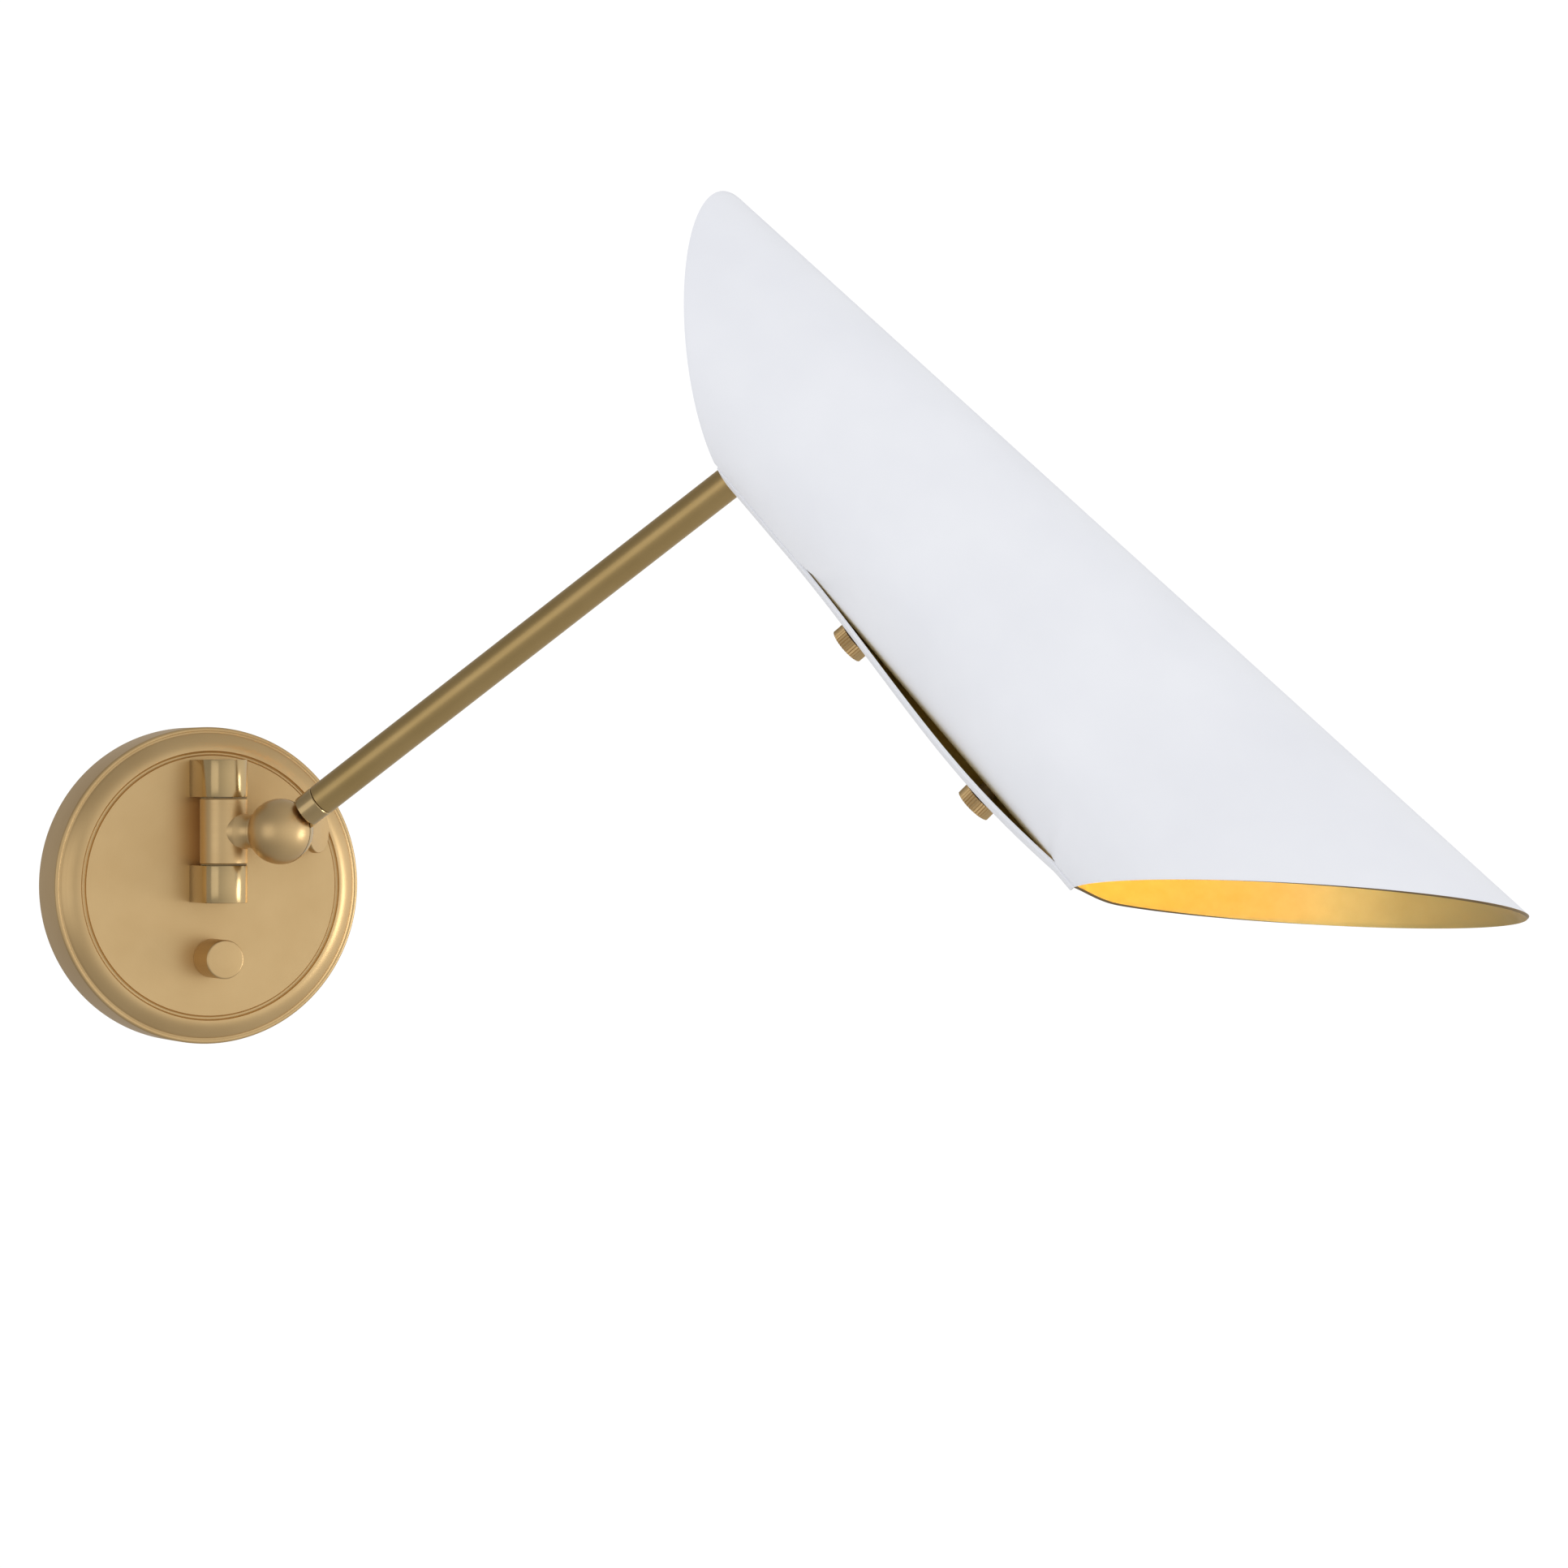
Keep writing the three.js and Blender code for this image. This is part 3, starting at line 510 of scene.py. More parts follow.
# The same brass buffed bright: narrower reflections with sharper edges.
POLISHED_BRASS = BrushedMetal(
    "polished_brass", "polished_brass", 0xC9B083, 0xC0A678, 0.16, 0.24, line_mm=0.35
)
# Drawn brass tube, linished lengthwise: a long soft highlight. Its tones, darker than the plate's brass in the
# same slot, are partly painted shade.
TUBE_BRASS_WITH_PAINTED_SHADE = BrushedMetal(
    "linished_brass_tube", "satin_brass", 0xC2A672, 0xBA9E69, 0.32, 0.38,
    line_mm=0.4, line_depth_mm=0.0015, run=BrushRun.ALONG,
)
# Zinc plated steel: cool grey with a slight bloom.
ZINC_STEEL = BrushedMetal("zinc_plated_steel", "steel", 0xC4C6C8, 0xB2B4B6, 0.3, 0.45, tone_mm=6.0)
WHITE_COAT = PowderCoat("white_powder_coat", "white_enamel", 0xF1F2F5, 0xEBECF0)
# Gold lining: its pale tones are painted light from the bulb, its last colour, a tan, is painted shade at the
# long lip.
GOLD_LINING = GoldLacquer("gold_lining", "white_enamel", 0xFFE796, 0xFBDF8A, 0xB89E65)
# The shade's sheared lower edge, in a darker brown metal tone.
CUT_EDGE = BrushedMetal("sheared_edge", "white_enamel", 0xA08A66, 0x8C7654, 0.36, 0.5, line_mm=0.3)
# Phenolic moulding of the lampholder and dimmer: black with a dull skin.
BLACK_PHENOLIC = Moulding("black_phenolic", "black_moulding", 0x2A2A2B, 0x202021, 0.5)
# Nylon washers and spacers, tinted a dark brass brown; in the hinge this dark tint is partly painted shade for
# the gap between ears and barrel.
NYLON_WITH_PAINTED_SHADE = Moulding("tinted_nylon", "nylon", 0x8C7346, 0x7A643C, 0.6)
OPAL_GLASS = LitOpalGlass("opal_glass_lit", "opal_glass", 0xFFF8EA, 0xFFF2DC, 0xFFF3DC)


# ------------------------------------------------------------------ modelling tools


def take(piece: Piece | None = None) -> None:
    """Leaves object mode with one piece selected and active, or with nothing selected."""
    if bpy.context.object and bpy.context.object.mode != "OBJECT":
        bpy.ops.object.mode_set(mode="OBJECT")
    bpy.ops.object.select_all(action="DESELECT")
    if piece:
        piece.select_set(True)
        bpy.context.view_layer.objects.active = piece


def settle(piece: Piece) -> None:
    """Applies a piece's place, turn and size to its mesh."""
    take(piece)
    bpy.ops.object.transform_apply(location=True, rotation=True, scale=True)


def arc(
    centre: tuple[float, float], radius: float, start_deg: float, end_deg: float, steps: int
) -> Outline:
    """Gives the points of a round stretch of an outline.

    Args:
        centre: Distance from the axis and place on it, in millimetres.
        radius: The arc's radius.
        start_deg: Angle of its first point, from the outward direction.
        end_deg: Angle of its last point.
        steps: How many pieces it has.

    Returns:
        The points, first and last included.
    """
    turns = [math.radians(start_deg + (end_deg - start_deg) * i / steps) for i in range(steps + 1)]
    return [(centre[0] + radius * math.cos(t), centre[1] + radius * math.sin(t)) for t in turns]


def curve(points: Outline, steps: int) -> Outline:
    """Gives the points of a stretch that leaves and arrives smoothly.

    Args:
        points: Start, two points that pull the stretch, and end.
        steps: How many pieces it has.

    Returns:
        The points, first and last included.
    """
    result = []
    for i in range(steps + 1):
        share = i / steps
        rest = 1 - share
        weights = (rest**3, 3 * rest**2 * share, 3 * rest * share**2, share**3)
        result.append(tuple(sum(w * point[k] for w, point in zip(weights, points)) for k in (0, 1)))
    return result


def smooth_step(value: float, low: float, high: float) -> float:
    """Rises smoothly from 0 at low to 1 at high."""
    share = min(max((value - low) / (high - low), 0.0), 1.0)
    return share * share * (3 - 2 * share)


def turned(name: str, outline: Outline, facets: int = FACETS) -> Piece:
    """Turns a piece on a lathe: its closed half outline is spun about Z.

    Args:
        name: The piece's name.
        outline: Points as distance from the axis and place on it, in millimetres.
        facets: How many facets it has round its axis.

    Returns:
        The closed piece.
    """
    take()
    bpy.ops.mesh.primitive_circle_add(vertices=len(outline), radius=1.0, fill_type="NOTHING")
    piece = bpy.context.object
    piece.name = name
    for vertex, (radius, place) in zip(piece.data.vertices, outline):
        vertex.co = (max(radius, 0.0), 0.0, place)
    bpy.ops.object.mode_set(mode="EDIT")
    bpy.ops.mesh.select_all(action="SELECT")
    bpy.ops.mesh.spin(steps=facets, angle=2 * math.pi, center=(0, 0, 0), axis=(0, 0, 1))
    bpy.ops.mesh.select_all(action="SELECT")
    bpy.ops.mesh.remove_doubles(threshold=WELD_MM)
    bpy.ops.mesh.delete_loose(use_verts=True, use_edges=True, use_faces=False)
    bpy.ops.mesh.select_all(action="SELECT")
    bpy.ops.mesh.normals_make_consistent(inside=False)
    bpy.ops.object.mode_set(mode="OBJECT")
    return piece


def ring(name: str, inner: float, outer: float, low: float, high: float, soft: float) -> Piece:
    """Turns a plain ring with softened corners.

    Args:
        name: The piece's name.
        inner: Its bore's radius, in millimetres.
        outer: Its outer radius.
        low: Where it starts on its axis.
        high: Where it ends.
        soft: Size of the softened outer corners.

    Returns:
        The closed ring.
    """
    outline = [(inner, low), (outer - soft, low), (outer, low + soft), (outer, high - soft)]
    return turned(name, [*outline, (outer - soft, high), (inner, high)])


def halve(piece: Piece, flat: float, side: float) -> None:
    """Cuts a piece across Y, keeps one side and closes the cut.

    Args:
        piece: The piece.
        flat: Where the cut lies on Y, in millimetres.
        side: -1 to keep what lies towards -Y, 1 to keep what lies towards +Y.
    """
    take(piece)
    bpy.ops.object.mode_set(mode="EDIT")
    bpy.ops.mesh.select_all(action="SELECT")
    bpy.ops.mesh.bisect(plane_co=(0, flat, 0), plane_no=(0, -side, 0), use_fill=True, clear_outer=True)
    bpy.ops.mesh.select_all(action="SELECT")
    bpy.ops.mesh.normals_make_consistent(inside=False)
    bpy.ops.object.mode_set(mode="OBJECT")


def half_ball(radius: float, side: float, flat: float) -> Piece:
    """Models part of a ball about the origin, cut flat across Y.

    Args:
        radius: The ball's radius, in millimetres.
        side: -1 to keep what lies towards -Y, 1 to keep what lies towards +Y.
        flat: Where the cut lies on Y.

    Returns:
        The closed part.
    """
    ball = turned("half_ball", arc((0, 0), radius, -90.0, 90.0, 48), FINE_FACETS)
    halve(ball, flat, side)
    return ball


def choose_faces(piece: Piece, direction: Vector, reach: float = 0.99) -> None:
    """Selects the faces of a piece that look one way, and enters edit mode.

    Args:
        piece: The piece.
        direction: The way its faces look.
        reach: Least cosine between a face's normal and that way.
    """
    take(piece)
    bpy.ops.object.mode_set(mode="EDIT")
    bpy.ops.mesh.select_mode(type="FACE")
    bpy.ops.mesh.select_all(action="DESELECT")
    bpy.ops.object.mode_set(mode="OBJECT")
    for polygon in piece.data.polygons:
        polygon.select = polygon.normal.dot(direction) > reach
    bpy.ops.object.mode_set(mode="EDIT")


def peg(radius: float, start: Vector, end: Vector, facets: int = 48) -> Piece:
    """Makes a plain rod.

    Args:
        radius: Its radius, in millimetres.
        start: One end of its axis.
        end: The other end.
        facets: How many facets it has.

    Returns:
        The rod.
    """
    take()
    along = end - start
    middle = (start + end) / 2
    turn = along.to_track_quat("Z", "X").to_euler()
    bpy.ops.mesh.primitive_cylinder_add(
        vertices=facets, radius=radius, depth=along.length, location=middle, rotation=turn
    )
    settle(bpy.context.object)
    return bpy.context.object


def round_ended_bar(
    name: str, radius: float, reach: float, low: float, high: float, soft: float = 0.3
) -> Piece:
    """Models a bar with one round end about Z and a square end towards +Y.

    Args:
        name: The piece's name.
        radius: Radius of the round end, in millimetres.
        reach: How far the square end lies from the round end's centre.
        low: Where the bar starts on Z.
        high: Where it ends.
        soft: Width of its edge rounding.

    Returns:
        The closed bar.
    """
    take()
    middle = (0, 0, (low + high) / 2)
    bpy.ops.mesh.primitive_cylinder_add(
        vertices=FINE_FACETS, radius=radius, depth=high - low, location=middle
    )
    bar = bpy.context.object
    bar.name = name
    settle(bar)
    halve(bar, 0.0, -1.0)
    choose_faces(bar, Vector((0, 1, 0)))
    bpy.ops.mesh.extrude_region_move(TRANSFORM_OT_translate={"value": (0, reach, 0)})
    bpy.ops.object.mode_set(mode="OBJECT")
    soften(bar, soft)
    return bar


def soften(piece: Piece, width: float, segments: int = 2, limit_deg: float = 35.0) -> None:
    """Rounds the sharp edges of a piece.

    Args:
        piece: The piece.
        width: Width of the rounding, in millimetres.
        segments: How many strips it has.
        limit_deg: Least angle between the faces of an edge that is rounded.
    """
    take(piece)
    bevel = piece.modifiers.new("edge_round", "BEVEL")
    bevel.width = width
    bevel.segments = segments
    bevel.limit_method = "ANGLE"
    bevel.angle_limit = math.radians(limit_deg)
    bpy.ops.object.modifier_apply(modifier=bevel.name)


def combine(piece: Piece, other: Piece, operation: str) -> None:
    """Joins another solid to a piece or cuts it away, and uses it up.

    Args:
        piece: The piece that stays.
        other: The solid that is used up.
        operation: "UNION" or "DIFFERENCE".
    """
    take(piece)
    step = piece.modifiers.new("combine", "BOOLEAN")
    step.operation = operation
    step.solver = "EXACT"
    step.object = other
    bpy.ops.object.modifier_apply(modifier=step.name)
    bpy.data.objects.remove(other, do_unlink=True)


def drill(piece: Piece, radius: float, start: Vector, end: Vector) -> None:
    """Bores a round hole through a piece.

    Args:
        piece: The piece.
        radius: The hole's radius, in millimetres.
        start: One end of the hole's axis.
        end: The other end.
    """
    combine(piece, peg(radius, start, end), "DIFFERENCE")


def cut_slot(piece: Piece, place: float, size: tuple[float, float, float]) -> None:
    """Cuts a driver slot across a screw's head.

    Args:
        piece: The screw, with Z along it.
        place: Where the head's face lies on Z, in millimetres.
        size: The slot's length, its width and twice its depth.
    """
    take()
    bpy.ops.mesh.primitive_cube_add(size=1.0, location=(0, 0, place), scale=size)
    settle(bpy.context.object)
    combine(piece, bpy.context.object, "DIFFERENCE")


def lay_along_x(piece: Piece) -> None:
    """Turns a piece so that its Z lies along X."""
    piece.rotation_euler = (0, math.pi / 2, 0)
    settle(piece)


def place_piece(piece: Piece, placement: Placement, body: str, finish: Finish, *nodes: str) -> None:
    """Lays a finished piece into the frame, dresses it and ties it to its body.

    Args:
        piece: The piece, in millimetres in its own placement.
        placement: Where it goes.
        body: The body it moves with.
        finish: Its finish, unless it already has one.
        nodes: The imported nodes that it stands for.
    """
    piece.matrix_world = placement.matrix() @ Matrix.Scale(MM, 4)
    settle(piece)
    if not piece.data.materials:
        piece.data.materials.append(finish.material(placement))
    bpy.ops.object.shade_smooth_by_angle(angle=math.radians(SMOOTH_DEG))
    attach(piece, body)
    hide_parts(*nodes)
    log.info("%s: %d faces, rides on %s", piece.name, len(piece.data.polygons), body)


def dress_nodes(finish: Finish, placement: Placement, *nodes: str) -> None:
    """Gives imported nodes, whose shapes are right, their finish.

    Args:
        finish: The finish.
        placement: The placement that it follows.
        nodes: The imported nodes.
    """
    material = finish.material(placement)
    for node in nodes:
        shown = frame["nodes"][node]
        shown.data.materials.clear()
        shown.data.materials.append(material)
        log.info("%s: kept, finished as %s", node, material.name)


# ------------------------------------------------------------------ sub-assemblies

# sizes that two sub-assemblies share, in millimetres
BALL_RADIUS = 13.0
BALL_SPLIT = 0.4
ARM_RADIUS = 6.35


@dataclass
class WallPlate:
    """The round plate on the wall with its strap and side screws. Sizes in millimetres."""

    radius: float = 63.5
    side_depth: float = 21.9
    face_depth: float = 26.0
    wall: float = 1.8
    bead: float = 1.1
    bead_rise: float = 0.2
    step_radius: float = 60.9
    step_width: float = 0.3
    step_depth: float = 0.35
    groove_radius: float = 53.0
    groove_half: float = 1.0
    groove_depth: float = 1.1
    side_screw_depth: float = 8.0
    screw_radius: float = 2.0
    play: float = 0.3
    bush_radius: float = 3.6
    bush_drop: float = 29.0

    def outline(self) -> Outline:
        """Draws the plate's half outline: radius, and height off the wall."""
        crown = self.face_depth - self.side_depth - self.bead / 2
        bead_centre = (self.radius - self.bead, self.side_depth - self.bead + self.bead_rise)
        dome_end = self.groove_radius + self.groove_half
        steps = 10
        dome = []
        for i in range(steps):
            share = i / steps
            radius = self.step_radius + (dome_end - self.step_radius) * share
            height = self.side_depth + self.bead / 2 + crown * math.sin(share * math.pi / 2)
            dome.append((radius, height))
        groove = arc((self.groove_radius, self.face_depth), self.groove_half, 0.0, -180.0, 8)
        groove = [(r, self.face_depth + (h - self.face_depth) * self.groove_depth) for r, h in groove]
        inner = self.radius - self.wall
        return [
            (0.0, self.face_depth - self.wall),
            (self.groove_radius, self.face_depth - self.wall),
            (inner, self.side_depth - self.wall),
            (inner, 0.0),
            (self.radius, 0.0),
            *arc(bead_centre, self.bead, 0.0, 120.0, 8),
            (self.step_radius + self.step_width, dome[0][1] - self.step_depth),
            *dome,
            *groove,
            (0.0, self.face_depth),
        ]

    def build(self, places: LampPlacements) -> None:
        """Models the plate, drills it and dresses the strap and screws behind it."""
        plate = turned("wall_plate", self.outline(), 2 * FINE_FACETS)
        reach = self.radius + 1
        depth = self.side_screw_depth
        drill(plate, self.screw_radius + self.play, Vector((0, -reach, depth)), Vector((0, reach, depth)))
        low = self.face_depth - self.wall - 1
        high = self.face_depth + 1
        ear_heights = [box_centre(f"ear_screw_{which}").z / MM for which in ("upper", "lower")]
        holes = [(height, self.screw_radius) for height in ear_heights]
        for height, radius in [*holes, (-self.bush_drop, self.bush_radius)]:
            drill(plate, radius + self.play, Vector((0, height, low)), Vector((0, height, high)))
        place_piece(plate, places.plate, "wall", SATIN_BRASS, "backplate")
        dress_nodes(ZINC_STEEL, places.plate, "wall_strap", "ear_screw_upper", "ear_screw_lower")
        for which, sign in (("top", 1.0), ("bottom", -1.0)):
            self.build_side_screw(which, sign)

    def build_side_screw(self, which: str, sign: float) -> None:
        """Models one slotted grub screw in the plate's side.

        Args:
            which: "top" or "bottom".
            sign: 1 at the top, -1 at the bottom.
        """
        low, high = (Vector(corner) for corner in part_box(f"side_screw_{which}"))
        length = (high.z - low.z) / MM
        start = Vector(((low.x + high.x) / 2, (low.y + high.y) / 2, low.z if sign > 0 else high.z))
        full = self.screw_radius
        edge = full - 0.3
        outline = [(0, 0), (edge, 0), (full, 0.4), (full, length - 0.3), (edge, length), (0, length)]
        screw = turned(f"grub_screw_{which}", outline, 32)
        cut_slot(screw, length, (5.0, 0.6, 1.6))
        place_piece(screw, Placement(start, RIGHT, UP * sign), "wall", SATIN_BRASS, f"side_screw_{which}")


@dataclass
class Hinge:
    """Two ears on the plate, the barrel that swings between them, and the ball's near half."""

    radius: float = 9.4
    barrel_height: float = 25.9
    soft: float = 0.35
    washer: float = 0.6
    ear_height: float = 14.9
    stand_off: float = 14.5
    neck_radius: float = 6.5
    neck_start: float = 3.0
    neck_flare: float = 1.4
    flare_start: float = 7.5
    flare_length: float = 4.6
    shoulder_radius: float = 7.1
    shoulder_length: float = 1.1
    shoulder_slope: float = 0.4
    neck_reach: float = 25.0
    neck_inside: float = 6.0
    ball_play: float = 0.4

    def build_ears(self, places: LampPlacements) -> None:
        """Models the two polished ears and dresses the pin and washers between them."""
        start = self.barrel_height / 2 + self.washer
        end = start + self.ear_height
        for which, low, high in (("upper", start, end), ("lower", -end, -start)):
            ear = round_ended_bar(f"hinge_ear_{which}_fine", self.radius, self.stand_off, low, high)
            place_piece(ear, places.hinge, "wall", POLISHED_BRASS, f"hinge_ear_{which}")
        dress_nodes(ZINC_STEEL, places.hinge, "hinge_pin")
        # the washers' dark tint partly paints the shade in the gap between each ear and the barrel
        dress_nodes(NYLON_WITH_PAINTED_SHADE, places.hinge, "hinge_washer_upper", "hinge_washer_lower")

    def build_knuckle(self, places: LampPlacements) -> None:
        """Models the barrel, its flared neck and the near half of the ball in one piece."""
        half = self.barrel_height / 2
        reach = half - self.soft
        rim = self.radius - self.soft
        rings = round(reach)
        sides = [(self.radius, -reach + 2 * reach * i / rings) for i in range(rings + 1)]
        outline = [(0, -half), (rim, -half), *sides, (rim, half), (0, half)]
        barrel = turned("swing_knuckle_fine", outline, FINE_FACETS)
        combine(barrel, self.build_neck(), "UNION")
        split = -BALL_SPLIT / 2
        sweep = half_ball(BALL_RADIUS + self.ball_play, 1.0, split)
        near = half_ball(BALL_RADIUS, -1.0, split)
        for ball, operation in ((sweep, "DIFFERENCE"), (near, "UNION")):
            ball.location = (self.neck_reach, 0, 0)
            settle(ball)
            combine(barrel, ball, operation)
        place_piece(barrel, places.swing, "swing", SATIN_BRASS, "swing_knuckle")

    def build_neck(self) -> Piece:
        """Models the neck: a concave flare at the barrel, and a low shoulder at the ball."""
        steps = 8
        flare = []
        for i in range(steps + 1):
            share = i / steps
            radius = self.neck_radius + self.neck_flare * (1 - math.sin(share * math.pi / 2))
            flare.append((radius, self.flare_start + self.flare_length * share))
        ball_start = self.neck_reach - math.sqrt(BALL_RADIUS**2 - self.shoulder_radius**2)
        shoulder = ball_start - self.shoulder_length
        end = self.neck_reach - self.neck_inside
        outline = [(0, self.neck_start), (self.neck_radius + self.neck_flare, self.neck_start), *flare]
        outline += [(self.neck_radius, shoulder), (self.shoulder_radius, shoulder + self.shoulder_slope)]
        neck = turned("neck", [*outline, (self.shoulder_radius, end), (0, end)], FINE_FACETS)
        lay_along_x(neck)
        return neck

    def build(self, places: LampPlacements) -> None:
        """Models the whole hinge."""
        self.build_ears(places)
        self.build_knuckle(places)


@dataclass
class Swivel:
    """The far half of the ball with the arm's collar, and the thumb key that clamps it."""

    root_start: float = 6.5
    collar_gap: float = 0.6
    collar_length: float = 7.9
    collar_edge: float = 0.3
    spigot_radius: float = 5.05
    spigot_length: float = 12.3
    key_hole_radius: float = 2.3
    flat_radius: float = 5.5
    ball_flat: float = 1.2
    shank_radius: float = 2.0
    thread_depth: float = 9.0
    hub_radius: float = 4.0
    hub_start: float = 12.8
    hub_length: float = 5.0
    edge: float = 0.4
    paddle_radius: float = 9.0
    paddle_reach: float = 32.0
    paddle_thickness: float = 3.0
    paddle_rim: float = 1.6
    paddle_dish: float = 0.35
    paddle_edge: float = 0.6

    def build_arm_knuckle(self, places: LampPlacements) -> None:
        """Models the far half ball, the polished collar and the spigot inside the tube."""
        start = BALL_RADIUS + self.collar_gap
        end = start + self.collar_length
        tip = end + self.spigot_length
        edge = self.collar_edge
        low, high = self.root_start, start + 1
        root = turned("root", [(0, low), (ARM_RADIUS, low), (ARM_RADIUS, high), (0, high)])
        rim = ARM_RADIUS - edge
        outline = [(0, start), (rim, start), (ARM_RADIUS, start + edge), (ARM_RADIUS, end - edge)]
        outline += [(rim, end), (self.spigot_radius, end), (self.spigot_radius, tip), (0, tip)]
        collar = turned("arm_knuckle_fine", outline)
        for part in (root, collar):
            lay_along_x(part)
        split = BALL_SPLIT / 2
        halve(root, split, 1.0)
        far = half_ball(BALL_RADIUS, 1.0, split)
        combine(far, root, "UNION")
        combine(collar, far, "UNION")
        outside = Vector((0, BALL_RADIUS + 1, 0))
        drill(collar, self.key_hole_radius, Vector((0, -1, 0)), outside)
        drill(collar, self.flat_radius, Vector((0, BALL_RADIUS - self.ball_flat, 0)), outside)
        collar.data.materials.append(POLISHED_BRASS.material(places.arm.facing("x")))
        place_piece(collar, places.arm, "arm", POLISHED_BRASS, "arm_knuckle")

    def build_key(self, places: LampPlacements) -> None:
        """Models the thumb key: shank, hub and a round paddle with soft edges."""
        neck = self.paddle_reach - self.paddle_radius
        hub_end = self.hub_start + self.hub_length
        edge = self.edge
        outline = [
            (0, -self.thread_depth), (self.shank_radius - edge, -self.thread_depth),
            (self.shank_radius, edge - self.thread_depth), (self.shank_radius, self.hub_start),
            (self.hub_radius - edge, self.hub_start), (self.hub_radius, self.hub_start + edge),
            (self.hub_radius, hub_end), (3.1, hub_end + 2), (2.9, neck), (2.6, neck + 2), (0, neck + 2.4),
        ]
        shank = turned("tilt_key_fine", outline)
        half = Vector((self.paddle_thickness / 2, 0, 0))
        centre = Vector((0, 0, self.paddle_reach))
        paddle = peg(self.paddle_radius, centre - half, centre + half, FINE_FACETS)
        for side in (1, -1):
            choose_faces(paddle, Vector((side, 0, 0)))
            bpy.ops.mesh.inset(thickness=self.paddle_rim, depth=-self.paddle_dish)
        bpy.ops.object.mode_set(mode="OBJECT")
        soften(paddle, self.paddle_edge, 3)
        combine(shank, paddle, "UNION")
        # facing the far side keeps X along the heading, so the paddle stands upright
        placement = places.ball.facing("y")
        place_piece(shank, placement, "key", SATIN_BRASS, "tilt_key")
        dress_nodes(ZINC_STEEL, placement, "tilt_key_washer")

    def build(self, places: LampPlacements) -> None:
        """Models both parts of the swivel."""
        self.build_arm_knuckle(places)
        self.build_key(places)


@dataclass
class Arm:
    """The straight tube and the eye at its end."""

    wall: float = 1.0
    tube_start: float = 21.8
    tube_edge: float = 0.25
    reach: float = 273.9
    eye_set_back: float = 13.0
    plug_length: float = 4.0
    plug_play: float = 0.3
    cap_length: float = 2.6
    cap_edge: float = 0.5
    eye_radius: float = 6.0
    eye_thickness: float = 6.0
    bore: float = 2.8
    seat: float = 0.1

    def build(self, places: LampPlacements) -> None:
        """Models the tube and the end eye."""
        along = places.arm.facing("x")
        inner = ARM_RADIUS - self.wall
        tube_end = self.reach - self.eye_set_back
        tube = ring("arm_tube_fine", inner, ARM_RADIUS, self.tube_start, tube_end, self.tube_edge)
        # the tube's brass is darker than the plate's: partly painted shade
        place_piece(tube, along, "arm", TUBE_BRASS_WITH_PAINTED_SHADE, "arm_tube")
        start = tube_end + self.seat
        end = start + self.cap_length
        plug = inner - self.plug_play
        outline = [(0, start - self.plug_length), (plug, start - self.plug_length), (plug, start)]
        outline += [(ARM_RADIUS, start), (ARM_RADIUS, end - self.cap_edge)]
        cap = turned("arm_end_eye_fine", [*outline, (ARM_RADIUS - self.cap_edge, end), (0, end)])
        half = self.eye_thickness / 2
        tongue_reach = self.eye_set_back - self.cap_length / 2
        tongue = round_ended_bar("tongue", self.eye_radius, tongue_reach, -half, half)
        # the bar's square end looks back down the arm, and its flat sides across the arm's plane
        tongue.matrix_world = Matrix(((0, 0, 1, 0), (-1, 0, 0, 0), (0, -1, 0, self.reach), (0, 0, 0, 1)))
        settle(tongue)
        combine(cap, tongue, "UNION")
        across = Vector((self.eye_thickness, 0, 0))
        centre = Vector((0, 0, self.reach))
        drill(cap, self.bore, centre - across, centre + across)
        placement = Placement(along.origin, places.arm.y_axis(), places.arm.x_axis)
        place_piece(cap, placement, "arm", SATIN_BRASS, "arm_end_eye")


